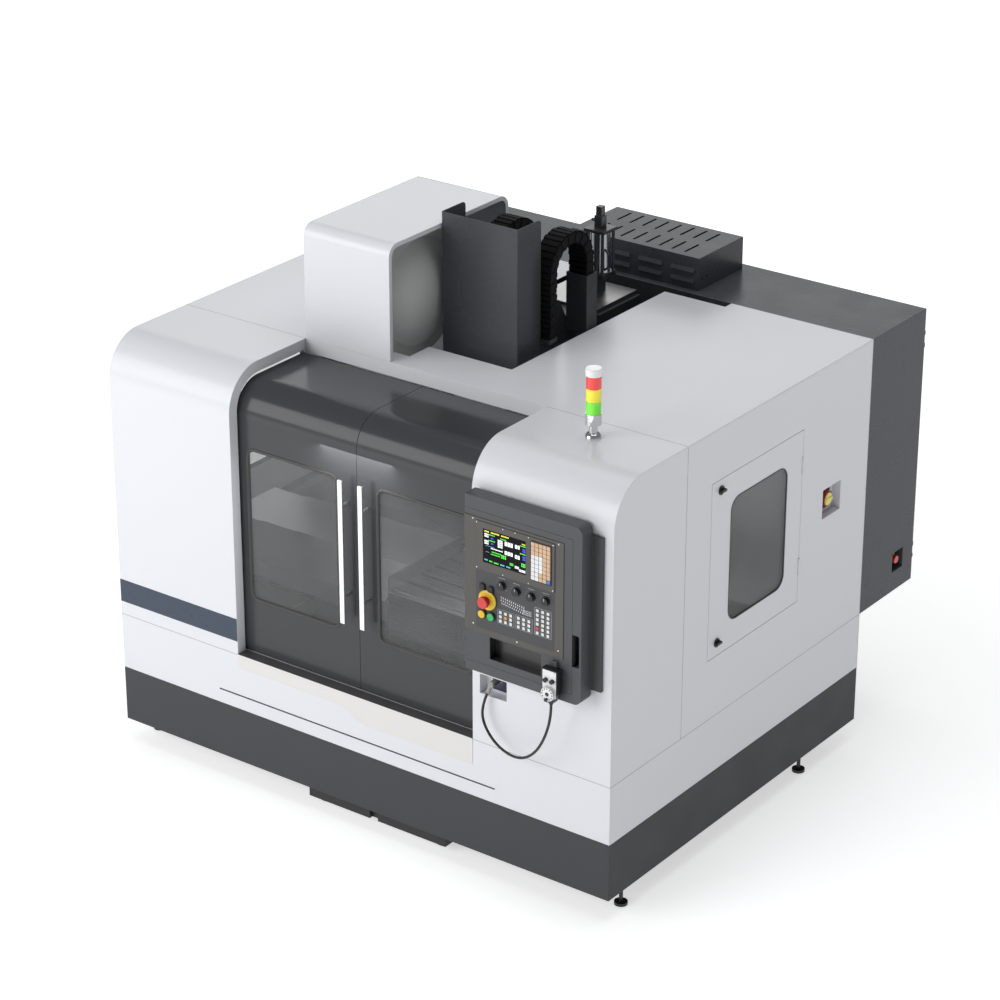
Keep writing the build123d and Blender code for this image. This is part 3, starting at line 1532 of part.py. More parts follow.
# Head cover, open at the top and the back
with BuildPart() as head_cover:
    cover_zs = (head_cover_bottom, head_cover_bottom + head_cover_height)
    block((head_cover_left, head_cover_right), (head_front - sheet, head_cover_rear), cover_zs)
    fillet(head_cover.edges().filter_by(Axis.Z).sort_by(Axis.Y)[:2], head_cover_bend)
    block((head_cover_left + sheet, head_cover_right - sheet), (head_front, head_cover_rear), cover_zs,
          Mode.SUBTRACT)
    top_edges = head_cover.edges().filter_by(Axis.X).group_by(Axis.Z)[-1]
    fillet(top_edges.group_by(Axis.Y)[-1], head_cover_corner)
    for tab_xs in ((head_cover_left, head_left), (head_right, head_cover_right)):
        tab_ys = (head_front, head_front + fold)
        block(tab_xs, tab_ys, (head_top - fold, head_top - fold + sheet))
        block(tab_xs, tab_ys, (head_cover_bottom + fold, head_cover_bottom + fold + sheet))
save(head_cover, "head_cover")


def chain_outline(front_bottom):
    """Side view of one cable chain, with its ends below the bend."""
    with BuildLine() as rim:
        Line((chain_front, front_bottom), (chain_front, bend_z))
        CenterArc((bend_y, bend_z), outer_radius, 180, -180)
        Line((chain_rear, bend_z), (chain_rear, chain_end_z))
        Line((chain_rear, chain_end_z), (chain_rear - chain_thickness, chain_end_z))
        Line((chain_rear - chain_thickness, chain_end_z), (chain_rear - chain_thickness, bend_z))
        CenterArc((bend_y, bend_z), outer_radius - chain_thickness, 0, 180)
        Line((chain_front + chain_thickness, bend_z), (chain_front + chain_thickness, front_bottom))
        Line((chain_front + chain_thickness, front_bottom), (chain_front, front_bottom))
    make_face(rim.edges())


def chain_notches(front_bottom):
    """Cuts between the links, round the bend and down both legs."""
    bend_links = round(math.pi * outer_radius / chain_pitch)
    for link in range(bend_links + 1):
        angle = math.pi * link / bend_links
        place = (bend_y - outer_radius * math.cos(angle), bend_z + outer_radius * math.sin(angle))
        with Locations(Location(place, -math.degrees(angle))):
            Rectangle(2 * chain_notch, chain_notch, mode=Mode.SUBTRACT)
    for leg_y, bottom in ((chain_front, front_bottom), (chain_rear, chain_end_z)):
        for link in range(1, int((bend_z - bottom) / chain_pitch)):
            with Locations((leg_y, bend_z - link * chain_pitch)):
                Rectangle(2 * chain_notch, chain_notch, mode=Mode.SUBTRACT)


# Cable chains from the column to the head, with a notch between their links
outer_radius = (chain_rear - chain_front) / 2
bend_y = (chain_front + chain_rear) / 2
bend_z = chain_top - outer_radius
chain_end_z = chain_rear_bottom + trough_wall
bracket_top = chain_bracket_z + chain_bracket_thickness + rail_gap
with BuildPart() as cable_chain:
    for right, front_bottom in ((chain_right, bracket_top), (twin_chain_right, head_top + rail_gap)):
        with BuildSketch(side_view(right - chain_width)):
            chain_outline(front_bottom)
            chain_notches(front_bottom)
        extrude(amount=chain_width)
save(cable_chain, "cable_chain")

# Booster cylinder on its stand
with BuildPart() as booster_cylinder:
    half_plate = booster_plate / 2
    plate_z = column_cap_top + booster_stand_height
    barrel_z = plate_z + booster_plate_thickness
    cap_z = barrel_z + booster_barrel_length
    plate_xs = (booster_x - half_plate, booster_x + half_plate)
    plate_ys = (booster_y - half_plate, booster_y + half_plate)
    for leg_x in (plate_xs[0], plate_xs[0] + booster_stand_width - booster_stand_wall):
        block((leg_x, leg_x + booster_stand_wall), plate_ys, (column_cap_top, plate_z))
    block(plate_xs, plate_ys, (plate_z, barrel_z))
    rod(booster_x, booster_y, barrel_z, booster_barrel_radius, booster_barrel_length)
    half_cap = booster_cap / 2
    cap_top = cap_z + booster_cap_thickness
    block((booster_x - half_cap, booster_x + half_cap), (booster_y - half_cap, booster_y + half_cap),
          (cap_z, cap_top))
    for rod_x in (booster_x - booster_rod_offset, booster_x + booster_rod_offset):
        for rod_y in (booster_y - booster_rod_offset, booster_y + booster_rod_offset):
            rod(rod_x, rod_y, barrel_z, booster_rod_radius, booster_barrel_length)
    valve_top = cap_top + booster_valve_height
    valve_parts = ((booster_valve_side, cap_top, valve_top),
                   (booster_pilot_side, valve_top, valve_top + booster_pilot_height))
    for side, low, high in valve_parts:
        block((booster_x - side / 2, booster_x + side / 2), (booster_y - side / 2, booster_y + side / 2),
              (low, high))
    port_x = booster_x - booster_valve_side / 2 - booster_port_length
    rod(port_x, booster_y, (cap_top + valve_top) / 2, booster_port_radius, booster_port_length, "X")
save(booster_cylinder, "booster_cylinder")

# Levelling feet under the skirt's lugs and the bed
with BuildPart() as levelling_feet:
    for foot_y in (front_foot_y, rear_foot_y):
        for x in (sheet + foot_x, width - sheet - foot_x):
            rod(x, foot_y, -floor_gap, foot_radius, foot_thickness)
            rod(x, foot_y, -floor_gap, foot_stud_radius, floor_gap)
    for foot_y in (bed_front + bed_foot_radius, (bed_front + bed_rear) / 2, bed_rear - bed_foot_radius):
        for x in (bed_left + bed_foot_radius, bed_right - bed_foot_radius):
            rod(x, foot_y, -floor_gap, bed_foot_radius, bed_foot_thickness)
            rod(x, foot_y, -floor_gap, bed_stud_radius, floor_gap + bed_bottom)
save(levelling_feet, "levelling_feet")

# Coolant tank on castors
with BuildPart() as coolant_tank:
    block((tank_left, tank_right), (tank_front, tank_rear), (tank_bottom, tank_top))
    block((tank_notch_left, tank_notch_right), (tank_front, tank_front + tank_notch_depth),
          (tank_bottom, tank_top), Mode.SUBTRACT)
    block((tank_left + sheet, tank_right - sheet), (tank_front + tank_notch_depth + sheet, tank_rear - sheet),
          (tank_bottom + sheet, tank_top), Mode.SUBTRACT)
    castor_radius = tank_clearance / 2 + sheet
    for castor_x in (tank_left + 2 * castor_width, tank_right - 3 * castor_width):
        for castor_y in (tank_front + 2 * castor_width, tank_rear - 2 * castor_width):
            rod(castor_x, castor_y, castor_radius - floor_gap, castor_radius, castor_width, "X")
save(coolant_tank, "coolant_tank")

# Control panel housing on its back box
panel_rear = panel_face + panel_depth
panel_hinge_y = panel_face + panel_door_return
panel_leaf_right = panel_left + panel_door_width
panel_leaf_zs = (panel_bottom + panel_door_lift, panel_bottom + panel_door_lift + panel_door_height)
with BuildPart() as panel_housing:
    with BuildSketch(front_view(panel_rear)):
        with Locations(((panel_left + panel_right) / 2, (panel_bottom + panel_top) / 2)):
            Rectangle(panel_width, panel_height)
    extrude(amount=panel_depth)
    corner_edges = panel_housing.edges().filter_by(Axis.Y).sort_by(Axis.X)[-2:]
    fillet(corner_edges, panel_corner)
    inner_xs = (panel_left + panel_wall, panel_right - panel_corner)
    inner_zs = (panel_bottom + panel_wall, panel_top - panel_wall)
    block(inner_xs, (panel_face + panel_wall, panel_rear - panel_wall), inner_zs, Mode.SUBTRACT)
    gap = panel_door_gap
    mouth_zs = (panel_leaf_zs[0] - gap, panel_leaf_zs[1] + gap)
    block((panel_left, panel_leaf_right + gap), (panel_face, panel_face + panel_wall), mouth_zs,
          Mode.SUBTRACT)
    block((panel_left, panel_left + panel_wall), (panel_face, panel_hinge_y + gap), mouth_zs, Mode.SUBTRACT)
    slot_xs = (panel_left + grip_slot_left, panel_left + grip_slot_right)
    slot_zs = (panel_bottom + grip_slot_bottom, panel_bottom + grip_slot_top)
    rounded(front_view(panel_face), slot_xs, slot_zs, grip_slot_corner, panel_wall - panel_depth,
            Mode.SUBTRACT)
    block((back_box_left, back_box_right), (panel_rear, 0), (back_box_bottom, back_box_top))
save(panel_housing, "panel_housing")


def on_panel(spot):
    """Place on the panel's face for a spot measured from its lower left corner."""
    return (panel_left + spot[0], panel_bottom + spot[1])


plate_face = panel_face - plate_thickness
key_face = plate_face - key_thickness
knob_places = [on_panel(spot) for spot in (mode_spot, rapid_spot, feed_spot, speed_spot)]
stop_place = on_panel(stop_spot)
hold_place = on_panel(hold_spot)
start_place = on_panel(start_spot)
shaft_places = knob_places + [stop_place, hold_place, start_place]

# Panel door with the tray and the hook of the hand-wheel unit
with BuildPart() as panel_door:
    leaf_xs = (panel_left, panel_leaf_right)
    block(leaf_xs, (panel_face, panel_face + panel_wall), panel_leaf_zs)
    block((panel_left, panel_left + panel_wall), (panel_face, panel_hinge_y), panel_leaf_zs)
    block((panel_leaf_right - panel_wall, panel_leaf_right), (panel_face, panel_face + fold), panel_leaf_zs)
    tray_xs = (panel_left + tray_left, panel_left + tray_right)
    tray_zs = (panel_bottom + tray_bottom, panel_bottom + tray_top)
    tray_rear = panel_face + tray_depth
    block((tray_xs[0] - panel_wall, tray_xs[1] + panel_wall), (panel_face, tray_rear + panel_wall),
          (tray_zs[0] - panel_wall, tray_zs[1] + panel_wall))
    block(tray_xs, (panel_face, tray_rear), tray_zs, Mode.SUBTRACT)
    for place in shaft_places:
        rod(place[0], panel_face, place[1], knob_shaft_radius + turn_gap, panel_wall, "Y", Mode.SUBTRACT)
    hook_x = wheel_left + wheel_width / 2
    hook_z = wheel_bottom + wheel_height - fold
    block((hook_x - fold / 2, hook_x + fold / 2), (wheel_back, panel_face), (hook_z, hook_z + 2 * fold))
save(panel_door, "panel_door")

# Instrument plate with the screen and the key fields
with BuildPart() as instrument_plate:
    plate_xs = (panel_left, panel_left + plate_width)
    plate_zs = (panel_bottom + plate_bottom, panel_bottom + plate_top)
    block(plate_xs, (plate_face, panel_face), plate_zs)
    bezel_face = plate_face - bezel_thickness
    rounded(front_view(plate_face), (panel_left + bezel_left, panel_left + bezel_right),
            (panel_bottom + bezel_bottom, panel_bottom + bezel_top), bezel_thickness, bezel_thickness)
    block((panel_left + screen_left, panel_left + screen_right), (bezel_face, bezel_face + screen_depth),
          (panel_bottom + screen_bottom, panel_bottom + screen_top), Mode.SUBTRACT)
    rod(stop_place[0], plate_face - stop_ring_thickness, stop_place[1], stop_ring_radius,
        stop_ring_thickness, "Y")
    for place in shaft_places:
        ring_depth = plate_thickness + stop_ring_thickness
        rod(place[0], panel_face - ring_depth, place[1], knob_shaft_radius + turn_gap, ring_depth, "Y",
            Mode.SUBTRACT)
    for spot in port_spots:
        x, z = on_panel(spot)
        block((x - port_half, x + port_half), (key_face, plate_face), (z - port_half, z + port_half))
save(instrument_plate, "instrument_plate")


def key_field(field, size, face):
    """Grid of square keys that share one mat."""
    across, up, columns, rows = field
    x0, z0 = on_panel((across[0], up[0]))
    x1, z1 = on_panel((across[1], up[1]))
    block((x0, x1), (face - key_mat, face), (z0, z1))
    pitch_x = (x1 - x0) / columns
    pitch_z = (z1 - z0) / rows
    for column in range(columns):
        for row in range(rows):
            x = x0 + (column + 0.5) * pitch_x
            z = z0 + (row + 0.5) * pitch_z
            block((x - size / 2, x + size / 2), (face - key_thickness, face - key_mat),
                  (z - size / 2, z + size / 2))


# Keys of the operator and data panels
with BuildPart() as panel_keys:
    for field in (mode_keys, axis_keys, function_keys):
        key_field(field, key_size, plate_face)
    key_field(data_keys, data_key_size, bezel_face)
save(panel_keys, "panel_keys")


def knob(name, place, face, radius, height, flange_radius, shaft_length):
    """Rotary selector: flange, grip, shaft and its nut."""
    with BuildPart() as turn:
        seat = face - turn_gap
        rod(place[0], seat - knob_flange_thickness, place[1], flange_radius, knob_flange_thickness, "Y")
        rod(place[0], seat - height, place[1], radius, height, "Y")
        pointer_xs = (place[0] - radius / 5, place[0] + radius / 5)
        block(pointer_xs, (seat - height, seat - height / 2), (place[1], place[1] + radius + pointer_proud))
        rod(place[0], seat, place[1], knob_shaft_radius, shaft_length + 2 * turn_gap, "Y")
        nut_y = seat + shaft_length + 2 * turn_gap
        rod(place[0], nut_y, place[1], 2 * knob_shaft_radius, nut_thickness, "Y")
    save(turn, name)


shaft_run = plate_thickness + panel_wall
for knob_name, place in zip(("mode_knob", "rapid_knob", "feed_knob", "speed_knob"), knob_places):
    knob(knob_name, place, plate_face, knob_radius, knob_height, knob_flange_radius, shaft_run)

# Push controls of the panel
stop_face = Plane(origin=at(stop_place[0], plate_face - stop_ring_thickness, stop_place[1]),
                  x_dir=(1, 0, 0), z_dir=(0, -1, 0))
mushroom("panel_estop_button", stop_face, 2 * knob_shaft_radius, stop_neck_radius, stop_head_radius,
         stop_height, shaft_run + stop_ring_thickness + turn_gap)
for button_name, place in (("feed_hold_button", hold_place), ("cycle_start_button", start_place)):
    button_face = Plane(origin=at(place[0], plate_face, place[1]), x_dir=(1, 0, 0), z_dir=(0, -1, 0))
    mushroom(button_name, button_face, 2 * knob_shaft_radius, button_radius, button_ring_radius,
             button_height, shaft_run + turn_gap)

# Hand-wheel unit that hangs on the panel door
with BuildPart() as handwheel_body:
    wheel_right = wheel_left + wheel_width
    wheel_top = wheel_bottom + wheel_height
    body_points = [
        (wheel_left, wheel_bottom + wheel_taper),
        (dial_x - dial_radius / 2, wheel_bottom),
        (dial_x + dial_radius / 2, wheel_bottom),
        (wheel_right, wheel_bottom + wheel_taper),
        (wheel_right, wheel_top),
        (wheel_left, wheel_top),
    ]
    profile(front_view(wheel_back), body_points, wheel_depth)
    for x, z in ((dial_x, dial_z), (axis_selector_x, selector_z), (step_selector_x, selector_z)):
        rod(x, wheel_face, z, knob_shaft_radius + turn_gap, wheel_depth / 2, "Y", Mode.SUBTRACT)
    gland_x, gland_y, gland_z = cable_points[-1]
    rod(gland_x, gland_y, gland_z, gland_radius, wheel_bottom - gland_z)
save(handwheel_body, "handwheel_body")

# Dial of the hand-wheel unit with its crank
with BuildPart() as handwheel_dial:
    dial_seat = wheel_face - turn_gap
    rod(dial_x, dial_seat - dial_height + turn_gap, dial_z, dial_radius, dial_height - turn_gap, "Y")
    rod(dial_x, dial_seat, dial_z, knob_shaft_radius, wheel_depth / 2 - turn_gap, "Y")
    crank_y = wheel_face - dial_height - crank_reach
    rod(dial_x, crank_y, dial_z - crank_offset, crank_radius, crank_reach, "Y")
save(handwheel_dial, "handwheel_dial")


def selector(name, x):
    """Small selector on the hand-wheel unit."""
    with BuildPart() as turn:
        seat = wheel_face - turn_gap
        rod(x, seat - selector_height, selector_z, selector_radius, selector_height, "Y")
        pointer_xs = (x - selector_pointer_half, x + selector_pointer_half)
        pointer_zs = (selector_z, selector_z + selector_radius + pointer_proud)
        block(pointer_xs, (seat - selector_height, seat - selector_height / 2), pointer_zs)
        rod(x, seat, selector_z, knob_shaft_radius, wheel_depth / 2 - turn_gap, "Y")
    save(turn, name)


selector("axis_selector_knob", axis_selector_x)
selector("step_selector_knob", step_selector_x)

# Plug in the connector recess
plug_end = Vector(*at(*cable_points[0]))
plug_way = plug_end - Vector(*at(*cable_points[1]))
with BuildPart() as cable_plug:
    rod(plug_x, socket_depth - plug_flange_thickness, plug_z, plug_flange_radius, plug_flange_thickness, "Y")
    rod(plug_x, -plug_reach, plug_z, plug_radius, plug_reach + socket_depth, "Y")
    with BuildSketch(Plane(origin=plug_end, z_dir=plug_way)):
        Circle(plug_neck_radius)
    extrude(amount=(plug_z - cable_points[0][2]) * plug_way.length / plug_way.Z)
save(cable_plug, "cable_plug")

# Hand-wheel cable
with BuildPart() as handwheel_cable:
    points = [Vector(*at(*point)) for point in cable_points]
    steps = [b - a for a, b in zip(points, points[1:])]
    turns = [math.radians(a.get_angle(b)) for a, b in zip(steps, steps[1:])]
    radii = [
        0.45 * min(a.length, b.length) / math.tan(turn / 2)
        for a, b, turn in zip(steps, steps[1:], turns)
    ]
    with BuildLine() as route:
        FilletPolyline(*points, radius=radii)
    with BuildSketch(Plane(origin=points[0], z_dir=steps[0])):
        Circle(cable_radius)
    sweep(path=route.line)
save(handwheel_cable, "handwheel_cable")
cable_length = sum(edge.length for edge in route.edges())
print("cable radii", [round(radius) for radius in radii])
print("cable length", round(cable_length), "volume", round(handwheel_cable.part.volume),
      "section times length", round(math.pi * cable_radius**2 * cable_length))
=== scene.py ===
import math
import bmesh
import bpy
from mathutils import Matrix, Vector


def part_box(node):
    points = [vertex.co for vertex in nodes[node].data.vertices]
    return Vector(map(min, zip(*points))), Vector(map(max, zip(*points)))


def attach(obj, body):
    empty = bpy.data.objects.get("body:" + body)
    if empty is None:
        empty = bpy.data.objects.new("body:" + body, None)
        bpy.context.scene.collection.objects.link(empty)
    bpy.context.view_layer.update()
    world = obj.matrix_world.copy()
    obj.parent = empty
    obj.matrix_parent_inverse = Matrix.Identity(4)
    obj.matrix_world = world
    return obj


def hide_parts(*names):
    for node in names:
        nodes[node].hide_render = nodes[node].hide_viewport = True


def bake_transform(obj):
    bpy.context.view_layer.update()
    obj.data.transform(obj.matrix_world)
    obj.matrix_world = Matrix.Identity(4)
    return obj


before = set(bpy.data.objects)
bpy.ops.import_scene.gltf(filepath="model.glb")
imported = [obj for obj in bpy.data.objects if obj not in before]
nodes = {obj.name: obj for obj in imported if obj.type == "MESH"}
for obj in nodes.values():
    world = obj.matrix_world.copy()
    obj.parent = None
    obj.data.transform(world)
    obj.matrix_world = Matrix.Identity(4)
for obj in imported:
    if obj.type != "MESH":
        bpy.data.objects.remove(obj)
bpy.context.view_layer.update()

scene = bpy.context.scene

# Places are written in millimetres from the enclosure's front left edge and the skirt's lower edge
skirt_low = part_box("base_skirt")[0]


def place(x, y, z):
    """Point of the frame, in metres, for a place on the machine."""
    return Vector((skirt_low[0] + x / 1000, skirt_low[1] + y / 1000, skirt_low[2] + z / 1000))


# Camera at the photograph's view
camera_data = bpy.data.cameras.new("photo_camera")
camera_data.lens = 114.71
camera_data.sensor_width = 36.0
camera_data.clip_end = 200.0
camera = bpy.data.objects.new("photo_camera", camera_data)
camera.location = place(9272.97, -9581.66, 7132.94)
camera.rotation_euler = (math.radians(65.556), 0.0, math.radians(36.516))
scene.collection.objects.link(camera)
scene.camera = camera
scene.view_settings.view_transform = "Standard"


# Building blocks of the shader groups and materials

bevel_samples = 4
middle_grey = (0.8, 0.8, 0.8, 1.0)


def opaque(color):
    """Colour with full alpha."""
    return (*color, 1.0)


def feed(tree, socket, term):
    """Set a socket to a plain value, or link another socket to it."""
    if isinstance(term, (int, float, tuple)):
        socket.default_value = term
    else:
        tree.links.new(term, socket)


def connect(tree, node, **terms):
    """Feed a node's inputs by name; an underscore stands for a space."""
    for label, term in terms.items():
        feed(tree, node.inputs[label.replace("_", " ")], term)


def new_group(name, inputs, outputs):
    """Empty shader group; returns its tree, the sockets that it is given and its output node."""
    tree = bpy.data.node_groups.new(name, "ShaderNodeTree")
    for label, value in inputs.items():
        kind = "Float" if isinstance(value, float) else "Color" if len(value) == 4 else "Vector"
        socket = tree.interface.new_socket(label, in_out="INPUT", socket_type="NodeSocket" + kind)
        socket.default_value = value
    for label in outputs:
        kind = "Color" if label == "Color" else "Float"
        tree.interface.new_socket(label, in_out="OUTPUT", socket_type="NodeSocket" + kind)
    return tree, tree.nodes.new("NodeGroupInput").outputs, tree.nodes.new("NodeGroupOutput")


def object_coordinates(tree):
    """Object coordinates, which are the frame's own metres on every piece."""
    return tree.nodes.new("ShaderNodeTexCoord").outputs["Object"]


def surface_normal(tree):
    """True normal of the surface."""
    return tree.nodes.new("ShaderNodeNewGeometry").outputs["Normal"]


def add_noise(tree, vector, scale, detail=3.0):
    """Noise texture on a vector socket."""
    noise = tree.nodes.new("ShaderNodeTexNoise")
    connect(tree, noise, Vector=vector, Scale=scale, Detail=detail)
    return noise.outputs["Fac"]


def add_range(tree, value, low, high, start=0.3, end=0.7):
    """Map a value to another range; 0.3 to 0.7 is what most of a noise lies in."""
    span = tree.nodes.new("ShaderNodeMapRange")
    connect(tree, span, Value=value, From_Min=start, From_Max=end, To_Min=low, To_Max=high)
    return span.outputs["Result"]


def add_math(tree, operation, *terms, kind="ShaderNodeMath"):
    """Math or vector math node on sockets or plain numbers."""
    node = tree.nodes.new(kind)
    node.operation = operation
    for socket, term in zip(node.inputs, terms):
        feed(tree, socket, term)
    return next(socket for socket in node.outputs if socket.enabled)


def add_mix(tree, factor, first, second):
    """Mix of two colours, which may be sockets or plain colours."""
    mix = tree.nodes.new("ShaderNodeMix")
    mix.data_type = "RGBA"
    for label, term in (("Factor", factor), ("A", first), ("B", second)):
        socket = next(s for s in mix.inputs if s.enabled and s.name == label and s.type in ("RGBA", "VALUE"))
        feed(tree, socket, term)
    return next(s for s in mix.outputs if s.type == "RGBA")


def add_shade(tree, color, value):
    """Colour made lighter or darker by a factor."""
    shade = tree.nodes.new("ShaderNodeHueSaturation")
    connect(tree, shade, Color=color, Value=value)
    return shade.outputs["Color"]


def add_bevel(tree, radius):
    """Normal that is rounded over within a radius of an edge."""
    bevel = tree.nodes.new("ShaderNodeBevel")
    bevel.samples = bevel_samples
    connect(tree, bevel, Radius=radius)
    return bevel.outputs["Normal"]


def lay_over(tree, given, result, over, region, patchy):
    """Mix a second colour over the group's own where a region, its patches and the amount say so."""
    mask = add_math(tree, "MULTIPLY", add_math(tree, "MULTIPLY", region, patchy), given["Amount"])
    connect(tree, result, Color=add_mix(tree, mask, given["Color"], given[over]))
    return tree


# Shader groups

def paint_film_group():
    """Sprayed paint: faint cloudiness, changing gloss and orange peel."""
    tree, given, result = new_group(
        "Paint film", {"Color": middle_grey, "Cloud": 0.03, "Gloss Low": 0.25, "Gloss High": 0.35,
                       "Peel Scale": 320.0}, ("Color", "Roughness", "Height"))
    where = object_coordinates(tree)
    cloud = add_math(tree, "MULTIPLY", add_noise(tree, where, 1.7), given["Cloud"])
    gloss = add_noise(tree, where, 6.0)
    connect(tree, result,
            Color=add_shade(tree, given["Color"], add_math(tree, "SUBTRACT", 1.0, cloud)),
            Roughness=add_range(tree, gloss, given["Gloss Low"], given["Gloss High"]),
            Height=add_noise(tree, where, given["Peel Scale"], 1.0))
    return tree


def edge_highlight_group():
    """Painted highlight: a lighter tone along convex edges, in patches."""
    tree, given, result = new_group(
        "Edge wear", {"Color": middle_grey, "Edge Color": (0.9, 0.9, 0.9, 1.0), "Width": 0.002,
                      "Amount": 0.5}, ("Color",))
    flatness = add_math(tree, "DOT_PRODUCT", add_bevel(tree, given["Width"]), surface_normal(tree),
                        kind="ShaderNodeVectorMath")
    rim = add_range(tree, flatness, 1.0, 0.0, 0.80, 0.99)
    patchy = add_range(tree, add_noise(tree, object_coordinates(tree), 24.0), 0.4, 1.0, 0.35, 0.65)
    return lay_over(tree, given, result, "Edge Color", rim, patchy)


def settled_dust_group():
    """Fine dust that lies on faces turned upward."""
    tree, given, result = new_group(
        "Settled dust", {"Color": middle_grey, "Dust Color": (0.5, 0.49, 0.47, 1.0), "Amount": 0.1},
        ("Color",))
    split = tree.nodes.new("ShaderNodeSeparateXYZ")
    connect(tree, split, Vector=surface_normal(tree))
    upward = add_range(tree, split.outputs["Z"], 0.0, 1.0, 0.6, 0.95)
    patchy = add_range(tree, add_noise(tree, object_coordinates(tree), 9.0, 6.0), 0.2, 1.0, 0.35, 0.7)
    return lay_over(tree, given, result, "Dust Color", upward, patchy)


def steel_grain_group():
    """Ground or brushed steel: long fine scratches along one axis."""
    tree, given, result = new_group(
        "Steel grain", {"Color": (0.6, 0.6, 0.6, 1.0), "Stretch": (4.0, 400.0, 400.0), "Depth": 0.12,
                        "Gloss Low": 0.25, "Gloss High": 0.45}, ("Color", "Roughness", "Height"))
    stretched = add_math(tree, "MULTIPLY", object_coordinates(tree), given["Stretch"],
                         kind="ShaderNodeVectorMath")
    streak = add_noise(tree, stretched, 1.0, 4.0)
    contrast = add_math(tree, "MULTIPLY", add_math(tree, "SUBTRACT", streak, 0.5), given["Depth"])
    connect(tree, result,
            Color=add_shade(tree, given["Color"], add_math(tree, "ADD", 1.0, contrast)),
            Roughness=add_range(tree, streak, given["Gloss Low"], given["Gloss High"]),
            Height=streak)
    return tree


def moulded_skin_group():
    """Moulded plastic or rubber: fine even texture with a little tone change."""
    tree, given, result = new_group(
        "Moulded skin", {"Color": (0.05, 0.05, 0.05, 1.0), "Grain Scale": 900.0, "Gloss Low": 0.4,
                         "Gloss High": 0.55}, ("Color", "Roughness", "Height"))
    where = object_coordinates(tree)
    grain = add_noise(tree, where, given["Grain Scale"], 2.0)
    tone = add_range(tree, add_noise(tree, where, 14.0), 0.93, 1.05)
    connect(tree, result,
            Color=add_shade(tree, given["Color"], tone),
            Roughness=add_range(tree, grain, given["Gloss Low"], given["Gloss High"]),
            Height=grain)
    return tree


paint_film = paint_film_group()
edge_highlight = edge_highlight_group()
settled_dust = settled_dust_group()
steel_grain = steel_grain_group()
moulded_skin = moulded_skin_group()


# Kinds of material

def new_material(name):
    """Material with its Principled shader; returns the material, its tree and the shader."""
    material = bpy.data.materials.new(name)
    material.use_nodes = True
    return material, material.node_tree, material.node_tree.nodes["Principled BSDF"]


def place_group(tree, group, **values):
    """Put a shared group in a material, set its inputs and return its outputs."""
    node = tree.nodes.new("ShaderNodeGroup")
    node.node_tree = group
    connect(tree, node, **values)
    return node.outputs


def add_relief(tree, shader, height, distance, strength, rounding):
    """Bump from a height, on edges that read as slightly rounded."""
    bump = tree.nodes.new("ShaderNodeBump")
    connect(tree, bump, Distance=distance, Strength=strength, Height=height)
    if rounding:
        connect(tree, bump, Normal=add_bevel(tree, rounding))
    connect(tree, shader, Normal=bump.outputs["Normal"])


def painted_sheet(name, color, edge, gloss=(0.22, 0.32), coat=0.0, cloud=0.03, highlight=0.35, dust=0.05,
                  peel=320.0, rounding=0.003, relief=0.15, shine=0.5):
    """Powder-coated sheet metal."""
    material, tree, shader = new_material(name)
    film = place_group(tree, paint_film, Color=opaque(color), Cloud=cloud, Gloss_Low=gloss[0],
                       Gloss_High=gloss[1], Peel_Scale=peel)
    # Painted highlight: the lighter edge colour laid along convex edges
    highlighted = place_group(tree, edge_highlight, Color=film["Color"], Edge_Color=opaque(edge), Amount=highlight)
    dusty = place_group(tree, settled_dust, Color=highlighted["Color"], Amount=dust)
    connect(tree, shader, Base_Color=dusty["Color"], Roughness=film["Roughness"], Coat_Weight=coat,
            Coat_Roughness=0.12, Specular_IOR_Level=shine)
    add_relief(tree, shader, film["Height"], distance=0.0002, strength=relief, rounding=rounding)
    return material


def bright_metal(name, color, stretch, gloss=(0.22, 0.42), depth=0.15):
    """Ground, brushed or plated metal."""
    material, tree, shader = new_material(name)
    grain = place_group(tree, steel_grain, Color=opaque(color), Stretch=stretch, Depth=depth,
                        Gloss_Low=gloss[0], Gloss_High=gloss[1])
    connect(tree, shader, Base_Color=grain["Color"], Roughness=grain["Roughness"], Metallic=1.0)
    add_relief(tree, shader, grain["Height"], distance=0.00005, strength=0.2, rounding=0.0015)
    return material


def lay_skin(tree, shader, color, gloss, grain):
    """Give a shader the moulded skin; returns the skin's outputs."""
    skin = place_group(tree, moulded_skin, Color=color, Grain_Scale=grain, Gloss_Low=gloss[0],
                       Gloss_High=gloss[1])
    connect(tree, shader, Base_Color=skin["Color"], Roughness=skin["Roughness"])
    return skin


def moulded(name, color, gloss=(0.35, 0.5), grain=900.0, coat=0.0, rounding=0.001, shine=0.5):
    """Moulded plastic or rubber."""
    material, tree, shader = new_material(name)
    skin = lay_skin(tree, shader, opaque(color), gloss, grain)
    connect(tree, shader, Coat_Weight=coat, Specular_IOR_Level=shine)
    add_relief(tree, shader, skin["Height"], distance=0.0001, strength=0.25, rounding=rounding)
    return material


def lit_film(name, color, strength):
    """Printed film with light behind it, as on a screen."""
    material, tree, shader = new_material(name)
    skin = lay_skin(tree, shader, opaque(color), gloss=(0.2, 0.3), grain=600.0)
    connect(tree, shader, Emission_Color=skin["Color"], Emission_Strength=strength)
    return material


def window_pane(name, color, alpha):
    """Laminated pane: mostly clear, with a faint smear that changes its gloss."""
    material, tree, shader = new_material(name)
    smear = add_noise(tree, object_coordinates(tree), 5.0, 5.0)
    connect(tree, shader,
            Base_Color=add_shade(tree, opaque(color), add_range(tree, smear, 0.9, 1.1)),
            Roughness=add_range(tree, smear, 0.03, 0.09),
            Alpha=add_range(tree, smear, alpha - 0.03, alpha + 0.03), IOR=1.5)
    material.surface_render_method = "DITHERED"
    return material


